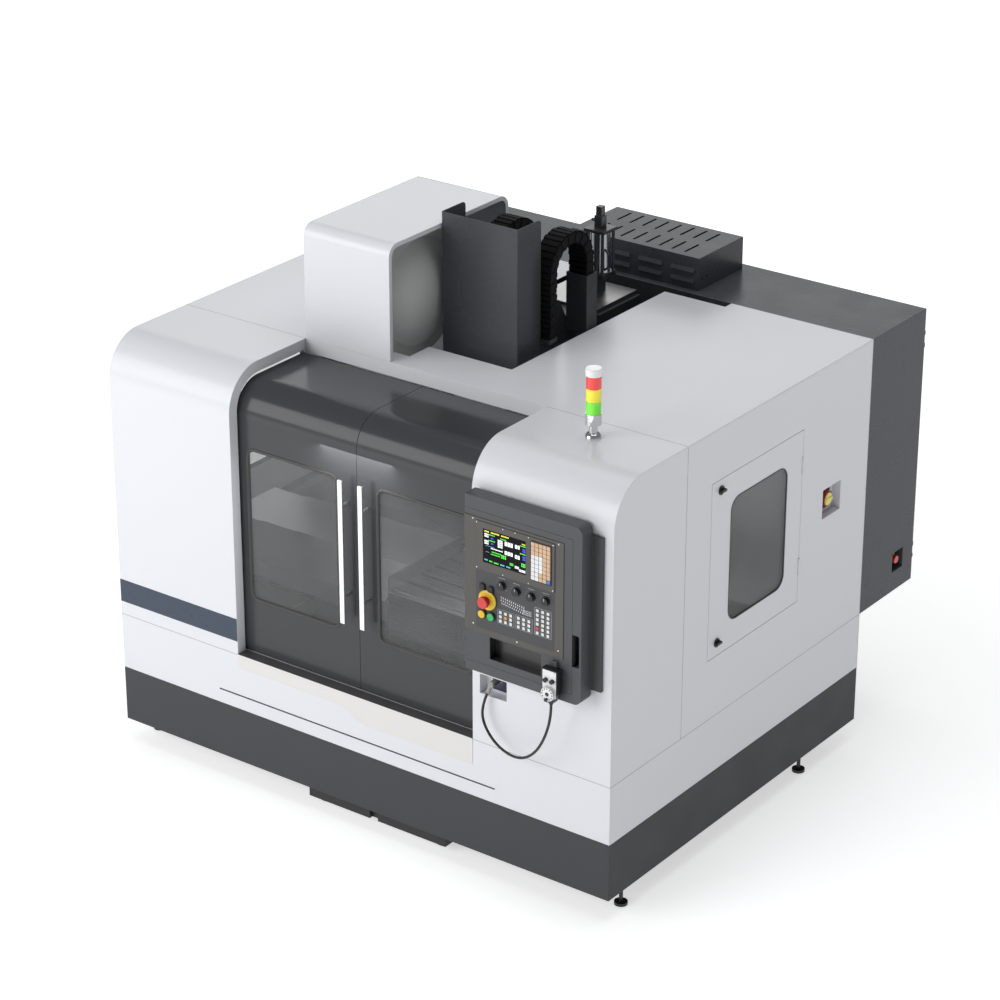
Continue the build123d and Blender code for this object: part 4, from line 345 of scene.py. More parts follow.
def banded_lens(name, first, bands):
    """Coloured lens stack: above each band's height its own colour shows."""
    material, tree, shader = new_material(name)
    split = tree.nodes.new("ShaderNodeSeparateXYZ")
    connect(tree, split, Vector=object_coordinates(tree))
    color = opaque(first)
    for height, tone in bands:
        color = add_mix(tree, add_math(tree, "GREATER_THAN", split.outputs["Z"], height), color, opaque(tone))
    lay_skin(tree, shader, color, gloss=(0.12, 0.2), grain=300.0)
    connect(tree, shader, Coat_Weight=0.6, Emission_Color=color, Emission_Strength=0.12)
    return material


# Materials

# Of the two colours given to a painted sheet, the second is its painted edge highlight
white_paint = painted_sheet("white_paint", (0.70, 0.715, 0.75), (0.8, 0.81, 0.84), gloss=(0.3, 0.33),
                            coat=0.1, cloud=0.004, highlight=0.15, dust=0.0, peel=140.0, relief=0.02, shine=0.4)
pale_paint = painted_sheet("pale_paint", (0.70, 0.69, 0.67), (0.76, 0.75, 0.73), gloss=(0.34, 0.36),
                           cloud=0.01, highlight=0.0, dust=0.0, relief=0.01)
slate_sheet = painted_sheet("slate_sheet", (0.068, 0.071, 0.080), (0.15, 0.16, 0.18), gloss=(0.24, 0.3),
                            dust=0.02, relief=0.04, shine=0.15)
panel_paint = painted_sheet("panel_paint", (0.072, 0.074, 0.08), (0.13, 0.13, 0.14), gloss=(0.38, 0.48),
                            dust=0.0, relief=0.05, shine=0.35)
door_paint = painted_sheet("door_paint", (0.052, 0.053, 0.057), (0.12, 0.12, 0.13), gloss=(0.16, 0.2),
                           coat=0.05, dust=0.0, relief=0.04, shine=0.25)
skirt_paint = painted_sheet("skirt_paint", (0.062, 0.063, 0.068), (0.1, 0.1, 0.11), gloss=(0.45, 0.55),
                            dust=0.0, relief=0.05, shine=0.15)
tank_paint = painted_sheet("tank_paint", (0.018, 0.018, 0.018), (0.05, 0.05, 0.05), gloss=(0.5, 0.6))
stripe_paint = painted_sheet("stripe_paint", (0.045, 0.062, 0.096), (0.1, 0.12, 0.15), highlight=0.1,
                             relief=0.04, shine=0.3)
line_paint = painted_sheet("line_paint", (0.012, 0.018, 0.035), (0.03, 0.04, 0.05), highlight=0.1)
casting_paint = painted_sheet("casting_paint", (0.03, 0.032, 0.036), (0.09, 0.09, 0.1), gloss=(0.4, 0.6),
                              peel=90.0)
grey_satin = painted_sheet("grey_satin", (0.60, 0.60, 0.59), (0.5, 0.5, 0.5), gloss=(0.4, 0.5), coat=0.1)
seam_grey = painted_sheet("seam_grey", (0.22, 0.22, 0.225), (0.3, 0.3, 0.3), gloss=(0.4, 0.5), rounding=None)
sill_film = painted_sheet("sill_film", (0.055, 0.056, 0.06), (0.1, 0.1, 0.1), gloss=(0.3, 0.4))
black_paint = painted_sheet("black_paint", (0.012, 0.012, 0.013), (0.06, 0.06, 0.06), gloss=(0.3, 0.45),
                            coat=0.3)
plate_brown = painted_sheet("plate_brown", (0.078, 0.074, 0.066), (0.12, 0.12, 0.11), gloss=(0.5, 0.6),
                            peel=900.0)
console_film = painted_sheet("console_film", (0.045, 0.046, 0.05), (0.07, 0.07, 0.075), gloss=(0.45, 0.55),
                             peel=900.0, rounding=None)
device_grey = painted_sheet("device_grey", (0.28, 0.29, 0.30), (0.4, 0.4, 0.4), gloss=(0.45, 0.6))
switch_red = painted_sheet("switch_red", (0.30, 0.010, 0.014), (0.4, 0.05, 0.05), gloss=(0.3, 0.4), coat=0.3)
navy_film = painted_sheet("navy_film", (0.012, 0.014, 0.06), (0.03, 0.03, 0.1), gloss=(0.3, 0.4), coat=0.3)
ground_steel = bright_metal("ground_steel", (0.52, 0.52, 0.53), (6.0, 500.0, 500.0))
liner_steel = bright_metal("liner_steel", (0.42, 0.43, 0.45), (200.0, 200.0, 5.0), gloss=(0.4, 0.55))
cover_steel = bright_metal("cover_steel", (0.62, 0.62, 0.63), (4.0, 300.0, 300.0), gloss=(0.3, 0.45))
cap_steel = bright_metal("cap_steel", (0.50, 0.50, 0.49), (300.0, 8.0, 300.0), gloss=(0.28, 0.4))
foot_steel = bright_metal("foot_steel", (0.06, 0.06, 0.062), (60.0, 60.0, 60.0), gloss=(0.3, 0.5), depth=0.3)
brushed_steel = bright_metal("brushed_steel", (0.86, 0.86, 0.87), (300.0, 300.0, 6.0), gloss=(0.25, 0.4))
chrome = bright_metal("chrome", (0.8, 0.8, 0.8), (40.0, 40.0, 40.0), gloss=(0.05, 0.12), depth=0.02)
barrel_steel = bright_metal("barrel_steel", (0.7, 0.7, 0.71), (300.0, 300.0, 8.0), gloss=(0.1, 0.2),
                            depth=0.08)
plug_metal = bright_metal("plug_metal", (0.28, 0.27, 0.25), (90.0, 90.0, 90.0), gloss=(0.25, 0.4), depth=0.2)
black_plastic = moulded("black_plastic", (0.010, 0.010, 0.011))
chain_plastic = moulded("chain_plastic", (0.005, 0.005, 0.006), gloss=(0.55, 0.7), grain=400.0, shine=0.12)
gasket_rubber = moulded("gasket_rubber", (0.045, 0.044, 0.041), gloss=(0.5, 0.65), grain=700.0)
cable_jacket = moulded("cable_jacket", (0.010, 0.010, 0.010), gloss=(0.4, 0.5), grain=500.0)
key_plastic = moulded("key_plastic", (0.10, 0.10, 0.10))
tan_plastic = moulded("tan_plastic", (0.66, 0.43, 0.27), gloss=(0.35, 0.45))
red_plastic = moulded("red_plastic", (0.62, 0.020, 0.020), gloss=(0.2, 0.3), coat=0.3)
yellow_plastic = moulded("yellow_plastic", (0.78, 0.50, 0.02), gloss=(0.3, 0.4))
lemon_plastic = moulded("lemon_plastic", (0.80, 0.70, 0.12), gloss=(0.3, 0.4), coat=0.2)
green_plastic = moulded("green_plastic", (0.02, 0.42, 0.10), gloss=(0.25, 0.35), coat=0.2)
orange_plastic = moulded("orange_plastic", (0.80, 0.32, 0.03), gloss=(0.3, 0.4))
blue_plastic = moulded("blue_plastic", (0.04, 0.16, 0.55), gloss=(0.3, 0.4))
white_plastic = moulded("white_plastic", (0.78, 0.79, 0.80), gloss=(0.25, 0.35), coat=0.2)
hose_navy = moulded("hose_navy", (0.008, 0.014, 0.06), gloss=(0.25, 0.35), grain=300.0)
screen_black = moulded("screen_black", (0.004, 0.004, 0.006), gloss=(0.15, 0.2), grain=80.0, shine=0.1)
print_grey = moulded("print_grey", (0.40, 0.41, 0.43), gloss=(0.4, 0.5), rounding=None)
lit_white = lit_film("lit_white", (0.78, 0.79, 0.82), 0.8)
lit_yellow = lit_film("lit_yellow", (0.80, 0.72, 0.05), 0.6)
lit_green = lit_film("lit_green", (0.08, 0.75, 0.05), 0.5)
lit_blue = lit_film("lit_blue", (0.04, 0.06, 0.80), 0.6)
lit_cyan = lit_film("lit_cyan", (0.10, 0.50, 0.62), 0.6)
window_glass = window_pane("window_glass", (0.17, 0.172, 0.174), 0.29)
lens_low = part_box("stack_light_lenses")[0][2]
lens_height = 0.0565
lens_plastic = banded_lens("lens_plastic", (0.20, 0.92, 0.04), [
    (lens_low + lens_height, (0.98, 0.85, 0.02)),
    (lens_low + 2 * lens_height, (0.95, 0.04, 0.03)),
    (lens_low + 3 * lens_height, (0.80, 0.80, 0.80)),
])

node_finish = {
    white_paint: ["left_front_cover", "right_front_cover", "lower_body_band", "left_side_panel",
                  "right_side_panel", "roof_panel", "access_door", "magazine_cover"],
    pale_paint: ["door_sill"],
    door_paint: ["left_door", "right_door"],
    brushed_steel: ["left_door_handle", "right_door_handle"],
    slate_sheet: ["electrical_cabinet", "cabinet_door", "vent_box", "head_cover"],
    panel_paint: ["panel_housing", "panel_door"],
    skirt_paint: ["base_skirt"],
    tank_paint: ["coolant_tank"],
    liner_steel: ["work_area_liner"],
    casting_paint: ["machine_bed", "machine_column", "spindle_head", "saddle"],
    ground_steel: ["work_table", "spindle"],
    foot_steel: ["levelling_feet"],
    cover_steel: ["table_way_covers"],
    grey_satin: ["tool_carousel"],
    window_glass: ["left_door_window", "right_door_window", "access_door_window", "left_side_window"],
    chain_plastic: ["cable_chain"],
    black_plastic: ["mode_knob", "rapid_knob", "feed_knob", "speed_knob", "axis_selector_knob",
                    "step_selector_knob", "handwheel_dial", "handwheel_body", "upper_latch", "lower_latch"],
    cable_jacket: ["handwheel_cable"],
    plug_metal: ["cable_plug"],
    plate_brown: ["instrument_plate"],
    key_plastic: ["panel_keys"],
    red_plastic: ["panel_estop_button", "cabinet_estop_button"],
    green_plastic: ["cycle_start_button"],
    yellow_plastic: ["feed_hold_button"],
    lemon_plastic: ["main_switch_knob"],
    chrome: ["stack_light_base"],
    lens_plastic: ["stack_light_lenses"],
    black_paint: ["spindle_motor", "booster_cylinder"],
    device_grey: ["cabinet_equipment"],
}
for finish, names in node_finish.items():
    for name in names:
        nodes[name].data.materials.clear()
        nodes[name].data.materials.append(finish)


# Ways to make a piece

def finish_mesh(name, form, materials, body=None, smooth=False):
    """Make an object of a bmesh, give it its materials and let it ride on a body."""
    mesh = bpy.data.meshes.new(name)
    bmesh.ops.recalc_face_normals(form, faces=form.faces)
    form.to_mesh(mesh)
    form.free()
    if smooth:
        mesh.shade_smooth()
        mesh.set_sharp_from_angle(angle=math.radians(35))
    for material in materials if isinstance(materials, list) else [materials]:
        mesh.materials.append(material)
    piece = bpy.data.objects.new(name, mesh)
    scene.collection.objects.link(piece)
    if body:
        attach(piece, body)
    return piece


def route_curve(name, points):
    """Smooth open curve with the points as its control points."""
    curve = bpy.data.curves.new(name, "CURVE")
    curve.dimensions = "3D"
    curve.resolution_u = 12
    spline = curve.splines.new("NURBS")
    spline.points.add(len(points) - 1)
    for control, point in zip(spline.points, points):
        control.co = (*place(*point), 1.0)
    spline.order_u = 3
    spline.use_endpoint_u = True
    return curve


def curve_line(curve):
    """Points along a curve with no thickness."""
    holder = bpy.data.objects.new("route_holder", curve)
    scene.collection.objects.link(holder)
    bpy.context.view_layer.update()
    depsgraph = bpy.context.evaluated_depsgraph_get()
    mesh = bpy.data.meshes.new_from_object(holder.evaluated_get(depsgraph))
    line = [vertex.co.copy() for vertex in mesh.vertices]
    bpy.data.objects.remove(holder)
    return line


def join_rings(form, rings, slot=0, closed=False):
    """Side faces between rings of as many points."""
    pairs = list(zip(rings, rings[1:]))
    if closed:
        pairs.append((rings[-1], rings[0]))
    for low, high in pairs:
        for side in range(len(low)):
            after = (side + 1) % len(low)
            form.faces.new((low[side], low[after], high[after], high[side])).material_index = slot


def close_ends(form, rings, slot=0):
    """Flat faces on the first and the last ring."""
    for ring in (rings[0], rings[-1]):
        form.faces.new(ring).material_index = slot


def tube(form, line, radius, sides=16):
    """Round tube along a line of points, closed at both ends."""
    rings = []
    across = Vector((1, 0, 0))
    angles = [2 * math.pi * side / sides for side in range(sides)]
    for index, point in enumerate(line):
        before = line[max(index - 1, 0)]
        after = line[min(index + 1, len(line) - 1)]
        way = (after - before).normalized()
        across = (across - way * across.dot(way)).normalized()
        other = way.cross(across)
        rings.append([form.verts.new(point + radius * (math.cos(a) * across + math.sin(a) * other))
                      for a in angles])
    join_rings(form, rings)
    close_ends(form, rings)


# Hand-wheel cable, along the route that it is fixed by
cable_points = [
    (2130, -22, 815),
    (2110, -34, 752),
    (2120, -44, 680),
    (2184, -57, 614),
    (2271, -71, 584),
    (2360, -85, 596),
    (2438, -98, 660),
    (2496, -110, 762),
    (2527, -116, 868),
    (2527, -116, 926),
]
cable_diameter = 0.012
cable_line = curve_line(route_curve("cable_route", cable_points))
cable_form = bmesh.new()
tube(cable_form, cable_line, cable_diameter / 2)
cable = finish_mesh("handwheel_cable_run", cable_form, cable_jacket, smooth=True)
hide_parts("handwheel_cable")
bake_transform(cable)


# Faces that flat pieces lie on: a point of the face, then its across, up and outward directions

def corners(node):
    """Lowest and highest corner of a node, in millimetres on the machine."""
    return [[(corner[k] - skirt_low[k]) * 1000 for k in range(3)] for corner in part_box(node)]


east, south, up, north, west = (1, 0, 0), (0, -1, 0), (0, 0, 1), (0, 1, 0), (-1, 0, 0)
width, body_depth, skirt_top = corners("base_skirt")[1]
band_top = corners("lower_body_band")[1][2]
roof_height = corners("roof_panel")[1][2]
opening_left, cover_depth = corners("left_front_cover")[1][:2]
opening_right = corners("right_front_cover")[0][0]
sill_sheet = 3
sill_top = band_top + sill_sheet
wheel_low, wheel_high = corners("handwheel_body")
front_face = ((0, 0, 0), east, up, south)
door_face = ((0, corners("left_door")[0][1], 0), east, up, south)
right_face = ((width, 0, 0), north, up, east)
left_face = ((0, 0, 0), north, up, west)
ground_face = ((0, 0, 0), east, north, up)
sill_face = ((0, 0, sill_top), east, north, up)
roof_face = ((0, 0, roof_height), east, north, up)
plate_face = ((corners("panel_door")[0][0], -90, corners("panel_housing")[0][2]), east, up, south)
wheel_face = ((0, wheel_low[1], 0), east, up, south)


def spot(face, a, b, out=0.0):
    """Point of the frame for a place on a face: across, up and outward, in millimetres."""
    origin, across, upward, outward = face
    return place(*(origin[k] + a * across[k] + b * upward[k] + out * outward[k] for k in range(3)))


def middle(face, node):
    """Middle of a node, as across and up on a face, to a tenth of a millimetre."""
    low, high = corners(node)
    centre = [(low[k] + high[k]) / 2 - face[0][k] for k in range(3)]
    return tuple(round(sum(centre[k] * way[k] for k in range(3)), 1) for way in face[1:3])


def rounded(low, high, radius, steps=6):
    """Outline of a rectangle with round corners."""
    outline = []
    middles = ((high[0] - radius, high[1] - radius), (low[0] + radius, high[1] - radius),
               (low[0] + radius, low[1] + radius), (high[0] - radius, low[1] + radius))
    for turn, (a, b) in enumerate(middles):
        for step in range(steps + 1):
            angle = math.radians(90 * (turn + step / steps))
            outline.append((a + radius * math.cos(angle), b + radius * math.sin(angle)))
    return outline


def square(centre, half, radius, steps=6):
    """Outline of a square with round corners."""
    a, b = centre
    return rounded((a - half, b - half), (a + half, b + half), radius, steps)


def rectangle(low, high):
    """Outline of a rectangle between two corners."""
    return [low, (high[0], low[1]), high, (low[0], high[1])]


def bar(a, b, wide, tall):
    """Outline of a rectangle from its lower left corner and its size."""
    return rectangle((a, b), (a + wide, b + tall))


def circle(centre, radius, sides=40):
    """Outline of a circle."""
    angles = [2 * math.pi * side / sides for side in range(sides)]
    return [(centre[0] + radius * math.cos(a), centre[1] + radius * math.sin(a)) for a in angles]


def face_rings(form, face, sections):
    """Rings of points on a face, from (outline, out) pairs."""
    return [[form.verts.new(spot(face, a, b, out)) for a, b in outline] for outline, out in sections]


def prism(form, face, outline, low, high, slot=0):
    """Closed plate between two distances from its face."""
    rings = face_rings(form, face, [(outline, low), (outline, high)])
    join_rings(form, rings, slot)
    close_ends(form, rings, slot)


def turned(form, face, centre, profile, sides=40, slot=0):
    """Round piece turned about a line out of its face; its profile is (radius, out) pairs."""
    rings = face_rings(form, face, [(circle(centre, radius, sides), out) for radius, out in profile])
    join_rings(form, rings, slot)
    close_ends(form, rings, slot)


def hollow(form, face, centre, profile, sides=40, slot=0):
    """Round ring turned about a line out of its face, from a closed section of (radius, out) pairs."""
    rings = face_rings(form, face, [(circle(centre, radius, sides), out) for radius, out in profile])
    join_rings(form, rings, slot, closed=True)


def bead(form, face, low, high, radius, section, slot=0):
    """Bead round a rectangle; its closed section is (outward from the outline, out of the face) pairs."""
    rings = face_rings(form, face, [
        (rounded((low[0] - grow, low[1] - grow), (high[0] + grow, high[1] + grow), radius + grow), out)
        for grow, out in section])
    join_rings(form, rings, slot, closed=True)


def tick(form, face, centre, angle, inner, outer, thickness, low, high, slot=0):
    """Short mark that points away from a centre; its angle is in degrees from straight up."""
    turn = math.radians(angle)
    way = Vector((math.sin(turn), math.cos(turn)))
    side = Vector((way[1], -way[0])) * thickness / 2
    outline = [tuple(Vector(centre) + way * reach + side * hand)
               for reach, hand in ((inner, 1), (outer, 1), (outer, -1), (inner, -1))]
    prism(form, face, outline, low, high, slot)


def flat_plate(name, face, outline, low, high, material):
    """Fixed plate of one outline on a face, between two distances from it."""
    form = bmesh.new()
    prism(form, face, outline, low, high)
    return finish_mesh(name, form, material, "enclosure")


# Window gaskets

gasket_lap = 12
door_section = ((11, -2), (9.5, 3), (7, 4), (0, 4), (-3, 2), (-5, -3))
side_section = ((4, -1), (3, 1.5), (-2, 1.5), (-4, -3))
door_corner, side_corner = 35, 60


def window_gasket(name, face, pane, body, corner, section):
    """Rubber gasket in the opening that a pane's node covers."""
    low, high = corners(pane)
    across = 0 if face[1] == east else 1
    form = bmesh.new()
    bead(form, face, (low[across] + gasket_lap, low[2] + gasket_lap),
         (high[across] - gasket_lap, high[2] - gasket_lap), corner, section)
    finish_mesh(name, form, gasket_rubber, body, smooth=True)


for side in ("left_door", "right_door"):
    window_gasket(side + "_gasket", door_face, side + "_window", side, door_corner, door_section)
window_gasket("access_door_gasket", right_face, "access_door_window", "access_door", side_corner,
              side_section)
window_gasket("left_side_gasket", left_face, "left_side_window", "enclosure", side_corner, side_section)


# Seams, stripe and trim of the housing

def panel_seams():
    """Dark joints where the sheets of the housing meet."""
    half, proud = 1.0, 0.25
    cover_seam_top = 1908
    front_runs = (((0, band_top), (opening_left, band_top)), ((opening_right, band_top), (width, band_top)))
    side_runs = (((0, band_top), (body_depth, band_top)),
                 ((cover_depth, band_top), (cover_depth, cover_seam_top)),
                 ((body_depth, skirt_top), (body_depth, roof_height)))
    roof_runs = (((0, cover_depth), (opening_left, cover_depth)),
                 ((opening_right, cover_depth), (width, cover_depth)),
                 ((0, body_depth), (width, body_depth)))
    form = bmesh.new()
    for face, runs in ((front_face, front_runs), (right_face, side_runs), (left_face, side_runs),
                       (roof_face, roof_runs)):
        for start, end in runs:
            prism(form, face, rectangle((start[0] - half, start[1] - half), (end[0] + half, end[1] + half)),
                  0.0, proud)
    finish_mesh("panel_seams", form, seam_grey, "enclosure")


stripe = rectangle((0.5, 615), (opening_left - 1, 728))
band_line = rectangle((590, 339), (2151, 346))
sill_tread = rectangle((opening_left, -1.4), (opening_right, 58))
panel_seams()
flat_plate("front_stripe", front_face, stripe, 0.0, 0.5, stripe_paint)
flat_plate("band_line", front_face, band_line, 0.0, 0.6, line_paint)
flat_plate("sill_tread", sill_face, sill_tread, 0.0, 0.6, sill_film)


# Operator panel

def screen_picture():
    """Generic screen picture: rows of short marks in plain colours."""
    low, high = (98, 524), (316, 676)
    wide, tall = high[0] - low[0], high[1] - low[1]
    edge, glass_out, film, mark = 0.4, 2.0, 0.5, 0.1
    form = bmesh.new()
    prism(form, plate_face, rectangle((low[0] + edge, low[1] + edge), (high[0] - edge, high[1] - edge)),
          glass_out, glass_out + film, 0)
    white, yellow, green, blue, cyan = 1, 2, 3, 4, 5
    # Each field: left, bottom, right and top in percent of the screen, marks across, rows and colour
    fields = [
        (3, 91, 14, 96, 4, 1, yellow), (18, 91, 38, 96, 7, 1, yellow), (42, 91, 60, 96, 6, 1, yellow),
        (90, 86, 99, 90, 3, 1, yellow), (14, 84, 27, 88, 5, 1, green), (40, 82, 54, 86, 5, 1, green),
        (86, 80, 99, 84, 4, 1, green), (12, 67, 28, 71, 5, 1, green), (86, 57, 99, 61, 4, 1, green),
        (20, 35, 42, 39, 7, 1, green), (18, 28, 40, 32, 7, 1, green), (42, 26, 54, 38, 3, 2, green),
        (62, 14, 71, 22, 3, 2, green), (89, 20, 99, 32, 3, 2, green), (3, 76, 13, 88, 3, 2, white),
        (50, 66, 70, 82, 3, 1, white), (74, 68, 86, 82, 2, 1, white), (3, 55, 13, 68, 3, 2, white),
        (34, 56, 46, 80, 3, 4, white), (50, 40, 70, 54, 3, 1, white), (74, 38, 86, 52, 2, 1, white),
        (18, 45, 46, 49, 9, 1, white), (74, 10, 84, 18, 4, 2, white), (84, 4, 99, 12, 5, 2, white),
        (18, 74, 24, 80, 2, 1, blue), (18, 58, 24, 64, 2, 1, blue), (92, 64, 99, 76, 2, 2, blue),
        (92, 40, 99, 54, 2, 2, blue), (3, 50.5, 30, 51.7, 1, 1, cyan), (5, 32.5, 16, 33.7, 1, 1, cyan),
        (3, 6, 11, 11, 3, 1, cyan), (14, 5, 22, 10, 3, 1, green), (25, 4, 36, 9, 4, 1, green),
        (40, 4, 50, 9, 4, 1, cyan), (54, 4, 64, 9, 3, 1, cyan),
    ]
    for left, bottom, right, top, count, rows, slot in fields:
        across, rise = (right - left) / count, (top - bottom) / rows
        for column in range(count):
            for row in range(rows):
                a = low[0] + wide * (left + column * across) / 100
                b = low[1] + tall * (bottom + row * rise) / 100
                step_a, step_b = wide * across / 100, tall * rise / 100
                prism(form, plate_face,
                      rectangle((a + 0.1 * step_a, b + 0.12 * step_b), (a + 0.86 * step_a, b + 0.9 * step_b)),
                      glass_out + film, glass_out + film + mark, slot)
    picture = finish_mesh("screen_picture", form, [screen_black, lit_white, lit_yellow, lit_green, lit_blue,
                                                   lit_cyan], "panel_door")


def key_spots(field):
    """Middle of each key of a field, with its column from the left and its row from the top."""
    (left, right), (bottom, top), columns, rows = field
    for column in range(columns):
        for row in range(rows):
            yield (column, rows - 1 - row, left + (column + 0.5) * (right - left) / columns,
                   bottom + (row + 0.5) * (top - bottom) / rows)


# Key fields: left and right, bottom and top on the plate, columns and rows
mode_keys = ((174, 253), (267, 326), 3, 3)
axis_keys = ((266, 346), (267, 327), 3, 3)
function_keys = ((362, 443), (268, 390), 3, 6)
data_keys = ((344, 442), (516, 686), 5, 9)
tan_key, white_key, blue_key, orange_key, red_key, key_mark, key_frame = range(7)


def key_slot(field, column, row):
    """Colour slot of a key."""
    if field is data_keys:
        if (column, row) == (4, 8):
            return blue_key
        return white_key if (3 <= row <= 6 and column < 3) or (row > 6 and column < 2) else tan_key
    if field is mode_keys and (column, row) == (1, 1):
        return orange_key
    return red_key if field is function_keys and (column, row) == (0, 4) else white_key


def key_caps():
    """Coloured caps on the keys, each with a short mark."""
    cap, crown, mark, crown_inset = 0.7, 1.1, 1.2, 0.9
    form = bmesh.new()
    for field, half, out in ((mode_keys, 6.6, 3.0), (axis_keys, 6.6, 3.0), (function_keys, 6.6, 3.0),
                             (data_keys, 8.9, 7.0)):
        for column, row, a, b in key_spots(field):
            slot = key_slot(field, column, row)
            prism(form, plate_face, square((a, b), half, 1.2, 3), out, out + cap, slot)
            prism(form, plate_face, square((a, b), half - crown_inset, 1.2, 3), out + cap, out + crown, slot)
            prism(form, plate_face, bar(a - 2.2, b - 0.7, 4.4, 1.4), out + crown, out + mark, key_mark)
    (left, right), (bottom, top) = data_keys[:2]
    bead(form, plate_face, (left - 1, bottom - 1), (right + 1, top + 1), 1.5,
         ((3, 4), (3, 6.4), (0, 6.4), (0, 4)), key_frame)
    caps = finish_mesh("key_caps", form, [tan_plastic, white_plastic, blue_plastic, orange_plastic,
                                          red_plastic, print_grey, black_plastic], "panel_door")


knob_spots = {knob: middle(plate_face, knob)
              for knob in ("mode_knob", "rapid_knob", "feed_knob", "speed_knob")}
stop_spot = middle(plate_face, "panel_estop_button")
hold_spot = middle(plate_face, "feed_hold_button")
start_spot = middle(plate_face, "cycle_start_button")
port_spots = ((94, 408), (137, 406))
film_out = 0.5
print_out = 0.75


def console_print():
    """Dark console film with its outlines, scale marks and rows of lamps, all plain marks."""
    form = bmesh.new()
    prism(form, plate_face, rounded((59, 213), (460, 483), 4), 0.0, film_out, 0)
    for centre in knob_spots.values():
        for step in range(11):
            tick(form, plate_face, centre, -125 + 25 * step, 24.5, 29.5 if step % 5 == 0 else 27.5, 1.1,
                 film_out, print_out, 1)
        for step in range(7):
            prism(form, plate_face, bar(centre[0] - 17 + 5 * step, centre[1] + 32, 3.4, 2.5),
                  film_out, print_out, 1)
    for row, (first, count) in enumerate(((186, 12), (186, 12), (190, 11))):
        for step in range(count):
            a = first + 10.5 * step
            b = 388 - 13 * row - 0.12 * (a - 186)
            prism(form, plate_face, bar(a, b, 6.5, 1.8), film_out, print_out, 1)
            turned(form, plate_face, (a + 3.2, b - 4.5), ((1.6, film_out), (1.6, print_out + 0.3)), 10, 2)
    for column in range(6):
        for row in range(3):
            prism(form, plate_face, bar(300 + 7.5 * column, 340 + 8 * row, 5.2, 5.6), film_out, print_out, 1)
    for low, high in (((172, 265), (255, 328)), ((264, 265), (348, 329)), ((360, 266), (445, 392))):
        bead(form, plate_face, low, high, 3, ((0.8, film_out), (0.8, 1.3), (-0.4, 1.3), (-0.4, film_out)), 1)
    console = finish_mesh("console_print", form, [console_film, print_grey, lit_white], "panel_door")


def knob_pointers():
    """White pointer line on each knob."""
    cap_out, line = 16.3, 0.4
    for knob, centre in knob_spots.items():
        form = bmesh.new()
        tick(form, plate_face, centre, 0, 4, 16, 2.0, cap_out, cap_out + line)
        finish_mesh(knob + "_pointer", form, white_plastic, knob)


def button_collars():
    """Collars round the panel's stop button and its two push buttons, and the two socket caps."""
    form = bmesh.new()
    hollow(form, plate_face, stop_spot,
           ((44, 4), (44.6, 7), (42, 9.5), (34, 11), (31, 15), (27, 16), (20, 16), (20, 4)), 56)
    finish_mesh("stop_collar", form, yellow_plastic, "panel_door", smooth=True)
    form = bmesh.new()
    for centre in (hold_spot, start_spot):
        hollow(form, plate_face, centre, ((22, film_out), (22, 3), (20, 5), (18.2, 5), (18.2, film_out)))
    for a, b in port_spots:
        prism(form, plate_face, square((a, b), 14, 3), film_out, 7)
        prism(form, plate_face, square((a, b), 11.5, 2.5), 7, 10)
        prism(form, plate_face, rounded((a - 9, b + 11), (a + 9, b + 16), 2), film_out, 8)
    finish_mesh("button_collars", form, black_plastic, "panel_door")


def plate_screws():
    """Round-headed screws of the plate and of the screen's frame."""
    form = bmesh.new()
    for centre in ((44, 707), (478, 707), (44, 225), (480, 225), (270, 202)):
        turned(form, plate_face, centre, ((3.6, 0), (3.6, 1.0), (2.4, 2.0), (0.6, 2.3)), 16)
    for centre in ((66, 697), (200, 698), (262, 699), (330, 698), (453, 697), (66, 492), (200, 491),
                   (330, 491), (453, 492)):
        turned(form, plate_face, centre, ((2.6, 4), (2.6, 4.8), (1.6, 5.4), (0.4, 5.6)), 14)
    finish_mesh("plate_screws", form, chrome, "panel_door", smooth=True)


def tray_shade_lining():
    """Black sheets lining the tray's back and walls: painted shade in its recess."""
    low, high = (127, 78), (392, 182)
    back, mouth, wall = -48.0, -3.2, 0.3
    form = bmesh.new()
    prism(form, plate_face, rectangle((low[0] + wall, low[1] + wall), (high[0] - wall, high[1] - wall)),
          back + 0.1, back + 0.8)
    bead(form, plate_face, low, high, 1.5, ((-0.1, back), (-0.1, mouth), (-1.2, mouth), (-1.2, back)))
    finish_mesh("tray_shade_lining", form, black_paint, "panel_door")


def handwheel_fittings():
    """White face of the hand-wheel unit, its lamp, and the scale on its dial."""
    right, top = wheel_high[0], wheel_high[2]
    form = bmesh.new()
    prism(form, wheel_face, rounded((wheel_low[0] + 5, top - 126), (right - 5, top - 5), 4), 0.0, 0.6, 0)
    prism(form, wheel_face, rectangle((right - 15, top - 12), (right - 11, top - 9)), 0.6, 1.4, 1)
    plate = finish_mesh("handwheel_plate", form, [white_plastic, green_plastic], "panel_door")
    dial = middle(wheel_face, "handwheel_dial")
    disc_out, mark_out = 16.6, 17.0
    form = bmesh.new()
    turned(form, wheel_face, dial, ((33.4, 0.5), (33.4, 14.2), (31.2, disc_out), (6, disc_out)), 56, 0)
    for step in range(12):
        turn = math.radians(30 * step)
        centre = (dial[0] + 25 * math.sin(turn), dial[1] + 25 * math.cos(turn))
        if step != 6:
            prism(form, wheel_face, circle(centre, 3.1, 16), disc_out, mark_out, 1)
    prism(form, wheel_face, circle(dial, 9, 24), disc_out, mark_out, 1)
    scale = finish_mesh("handwheel_scale", form, [white_plastic, black_plastic], "handwheel_dial")


screen_picture()
key_caps()
console_print()
knob_pointers()
button_collars()
plate_screws()
tray_shade_lining()
handwheel_fittings()


# Switches on the side and the cable's recess

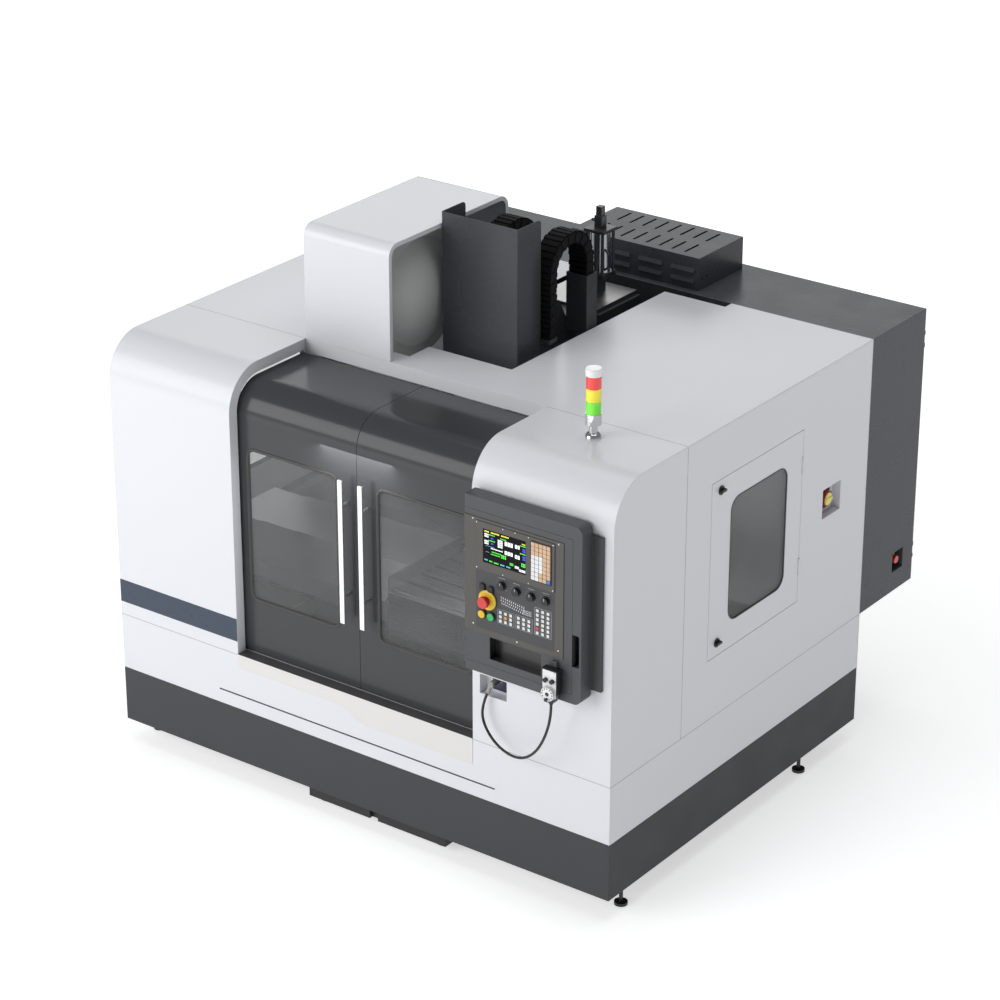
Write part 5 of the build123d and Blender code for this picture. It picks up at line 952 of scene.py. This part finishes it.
def side_plates():
    """Red plate, ring and yellow dial of the main switch, ring and label of the cabinet's stop button."""
    switch = middle(right_face, "main_switch_knob")
    form = bmesh.new()
    plate_back, plate_front = -41.9, -38
    prism(form, right_face, rounded((1648, 1190), (1762, 1300), 5), plate_back, plate_front)
    hollow(form, right_face, switch,
           ((37, plate_front), (37, -17), (35, -15), (32.5, -15), (32.5, plate_front)))
    finish_mesh("main_switch_plate", form, switch_red, "enclosure")
    form = bmesh.new()
    turned(form, right_face, switch, ((30.5, -26), (30.5, -14.5), (28.5, -12.5), (2, -12.5)), 56)
    switch_dial = finish_mesh("main_switch_dial", form, lemon_plastic, "main_switch", smooth=True)
    label_back, label_front = -43.95, -43.8
    form = bmesh.new()
    prism(form, right_face, rectangle((2309, 651), (2404, 749)), label_back, label_front, 1)
    hollow(form, right_face, middle(right_face, "cabinet_estop_button"),
           ((36, label_front), (36, -36), (33, -34), (23, -34), (23, label_front)), slot=0)
    stop_plate = finish_mesh("cabinet_stop_plate", form, [lemon_plastic, black_plastic], "enclosure")
    connector = rectangle((2110, 800), (2212, 876))
    flat_plate("connector_plate", front_face, connector, -44.9, -43, navy_film)


side_plates()


# Near-black sheets low inside the skirt on both sides of the bed: painted shade under the machine

def underside_shade_sheets():
    """Thin near-black sheets low inside the skirt, round the bed and the tank: painted shade under the
    machine.
    """
    rim, sheet_low, sheet_high, tank_gap = 12.0, 4.0, 6.0, 3
    bed_low, bed_high = corners("machine_bed")
    tank_low, tank_high = corners("coolant_tank")
    form = bmesh.new()
    for low, high in (((rim, rim), (bed_low[0], body_depth - rim)),
                      ((bed_high[0], rim), (width - rim, body_depth - rim)),
                      ((bed_low[0], rim), (tank_low[0] - tank_gap, bed_low[1])),
                      ((tank_high[0] + tank_gap, rim), (bed_high[0], bed_low[1])),
                      ((bed_low[0], bed_high[1]), (bed_high[0], body_depth - rim))):
        prism(form, ground_face, rectangle(low, high), sheet_low, sheet_high)
    finish_mesh("underside_shade_sheets", form, tank_paint, "enclosure")


underside_shade_sheets()


# Column cap and booster

def column_fittings():
    """Bare top plate of the column, and the polished barrel and the hose of the booster."""
    cap_out = corners("booster_cylinder")[0][2]
    a, b = middle(ground_face, "booster_cylinder")
    cap = rectangle((1233, 1561), (1567, 1889))
    cap_plate = flat_plate("column_cap_plate", ground_face, cap, cap_out, cap_out + 1.2, cap_steel)
    barrel_bottom, barrel_top = cap_out + 109.3, cap_out + 305.7
    form = bmesh.new()
    hollow(form, ground_face, (a, b), ((46.7, barrel_bottom), (46.7, barrel_top), (45.5, barrel_top),
                                       (45.5, barrel_bottom)), 64)
    finish_mesh("booster_barrel", form, barrel_steel, "enclosure", smooth=True)
    hose_steps = ((40, -20, -80), (62, -26, -92), (84, -30, -118), (76, -30, -150), (58, -28, -166),
                  (42, -24, -178))
    hose_points = [(a + x, b + y, barrel_top + z) for x, y, z in hose_steps]
    hose_radius = 0.005
    form = bmesh.new()
    tube(form, curve_line(route_curve("hose_route", hose_points)), hose_radius, 12)
    finish_mesh("booster_hose", form, hose_navy, "enclosure", smooth=True)


column_fittings()


# Cable chains, link by link, bending between the column and the head

def chain_link(form, middle_point, along, outward, left, right, depth, pitch, inset):
    """One link: two side plates with round ends, an outer lid, an inner bar and the cables between them."""
    across = Vector((1, 0, 0))
    plate, nose, cable_inset = 8.0, 5, 6
    end = pitch / 2 + 3

    def slab(xs, outline):
        rings = [[form.verts.new(place(*(middle_point + across * x + along * a + outward * b)))
                  for a, b in outline] for x in xs]
        join_rings(form, rings)
        close_ends(form, rings)

    side = [(end - nose, -depth / 2), (end, -depth / 4), (end, depth / 4), (end - nose, depth / 2),
            (nose - end, depth / 2), (-end, depth / 4), (-end, -depth / 4), (nose - end, -depth / 2)]
    slab((left + inset, left + inset + plate), side)
    slab((right - inset - plate, right - inset), side)
    lid = rectangle((-0.42 * pitch, depth / 2 - 5), (0.42 * pitch, depth / 2 + 1))
    cables = rectangle((-0.62 * pitch, 6 - depth / 2), (0.62 * pitch, depth / 2 - 4))
    inner_bar = rectangle((-0.2 * pitch, -depth / 2 - 1), (0.2 * pitch, 4 - depth / 2))
    slab((left + inset, right - inset), lid)
    slab((left + cable_inset, right - cable_inset), cables)
    slab((left + inset, right - inset), inner_bar)


def cable_chain_links():
    """Both chains, along their legs and the half circle between them."""
    low, high = corners("cable_chain")
    depth, chain_width, pitch, rear_bottom = 58.0, 100.0, 26.0, 1996.0
    plate_depth, even_inset = depth - 4, 3.0
    outer = (high[1] - low[1]) / 2
    radius = outer - depth / 2
    bend = Vector((0, (low[1] + high[1]) / 2, high[2] - outer))
    arc = math.pi * radius
    rear_leg = bend[2] - rear_bottom
    form = bmesh.new()
    for right, bottom in ((high[0], low[2]), (low[0] + chain_width, corners("spindle_head")[1][2])):
        front_leg = bend[2] - bottom
        count = round((front_leg + arc + rear_leg) / pitch)
        step = (front_leg + arc + rear_leg) / count
        for link in range(count):
            run = (link + 0.5) * step
            if run < front_leg:
                point, along, outward = Vector((0, bend[1] - radius, bottom + run)), (0, 0, 1), (0, -1, 0)
            elif run < front_leg + arc:
                turn = (run - front_leg) / radius
                outward = (0, -math.cos(turn), math.sin(turn))
                along = (0, math.sin(turn), math.cos(turn))
                point = bend + Vector(outward) * radius
            else:
                fall = run - front_leg - arc
                point, along, outward = Vector((0, bend[1] + radius, bend[2] - fall)), (0, 0, -1), (0, 1, 0)
            chain_link(form, point, Vector(along), Vector(outward), right - chain_width, right, plate_depth,
                       step, 0.0 if link % 2 else even_inset)
    chain = finish_mesh("cable_chain_links", form, chain_plastic)
    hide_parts("cable_chain")
    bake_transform(chain)


cable_chain_links()


# Way covers, drawn as telescopic sheets up to where the table stands; on the machine they shorten and
# lengthen as the table moves

def way_cover_plates(name, fixed, moving):
    """Telescopic sheets between the fixed end and the table, each a little lower than the one before."""
    low, high = corners("table_way_covers")
    sections, slices, lap, fall, wall = 5, 8, 16.0, 5.0, 3.0
    wiper_back, wiper_half, wiper_height = 8, 3, 2
    ridge_y, front_height = low[1] + 175, low[2] + 100
    run = (moving - fixed) / sections
    way = 1 if run > 0 else -1

    def outline(inset):
        front, rear, top = low[1] + inset, high[1] - inset, high[2] - inset
        return [(front, low[2]), (front, front_height - inset), (ridge_y, top), (rear, top), (rear, low[2])]

    form = bmesh.new()
    for section in range(sections):
        drop = fall * (sections - 1 - section)
        start = fixed + section * run - (lap if section else 0) * way
        end = fixed + (section + 1) * run
        loop = outline(drop) + outline(drop + wall)[::-1]
        rings = []
        for cut in range(slices + 1):
            x = start + (end - start) * cut / slices
            rings.append([form.verts.new(place(x, y, z)) for y, z in loop])
        join_rings(form, rings)
        for ring in (rings[0], rings[-1]):
            for k in range(len(loop) // 2 - 1):
                form.faces.new((ring[k], ring[k + 1], ring[len(loop) - 2 - k], ring[len(loop) - 1 - k]))
        wiper_x = end - wiper_back * way
        ridge = outline(drop)[1:4]
        wiper = [(y, z) for y, z in ridge] + [(y, z + wiper_height) for y, z in reversed(ridge)]
        join_rings(form, [[form.verts.new(place(x, y, z)) for y, z in wiper]
                          for x in (wiper_x - wiper_half, wiper_x + wiper_half)], 1)
    cover = finish_mesh(name, form, [cover_steel, gasket_rubber])
    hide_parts("table_way_covers")
    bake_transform(cover)


cover_low, cover_high = corners("table_way_covers")
table_low, table_high = corners("work_table")
table_gap = 0.5
way_cover_plates("left_way_cover", cover_low[0], table_low[0] - table_gap)
way_cover_plates("right_way_cover", cover_high[0], table_high[0] + table_gap)


# Floor, light and backdrop

def stage_floor():
    """Large pale floor, a little brighter far from the machine."""
    reach = 90.0
    near, far = 2.5, 7.0
    form = bmesh.new()
    form.faces.new([form.verts.new((x, y, 0.0)) for x, y in rectangle((-reach, -reach), (reach, reach))])
    material, tree, shader = new_material("studio_floor")
    distance = add_math(tree, "LENGTH", object_coordinates(tree), kind="ShaderNodeVectorMath")
    connect(tree, shader, Base_Color=(0.86, 0.86, 0.86, 1.0), Roughness=0.9,
            Emission_Color=(1.0, 1.0, 1.0, 1.0),
            Emission_Strength=add_range(tree, distance, 0.56, 0.85, near, far))
    floor = finish_mesh("studio_floor", form, material)


def add_area_light(name, location, target, size, power):
    """Soft area light that faces a target."""
    data = bpy.data.lights.new(name, "AREA")
    data.shape = "RECTANGLE"
    data.size, data.size_y = size
    data.energy = power
    light = bpy.data.objects.new(name, data)
    light.location = location
    light.visible_camera = False
    light.rotation_euler = (Vector(target) - Vector(location)).to_track_quat("-Z", "Y").to_euler()
    scene.collection.objects.link(light)


stage_floor()
add_area_light("key_light", (-5.5, -10.5, 5.5), (0.0, 0.0, 1.6), (9.0, 7.0), 830)
add_area_light("top_light", (0.5, 0.5, 8.5), (0.0, 0.0, 1.5), (7.0, 6.0), 240)
add_area_light("back_light", (-6.0, 8.0, 6.2), (0.0, 0.0, 2.0), (8.0, 4.0), 132)
add_area_light("work_lamp", place((opening_left + opening_right) / 2, cover_depth, roof_height - 230),
               place(width / 2, cover_depth, band_top), (1.2, 0.4), 13)
world = bpy.data.worlds.new("studio_world")
world.use_nodes = True
connect(world.node_tree, world.node_tree.nodes["Background"], Color=(0.95, 0.97, 1.0, 1.0), Strength=0.2)
scene.world = world
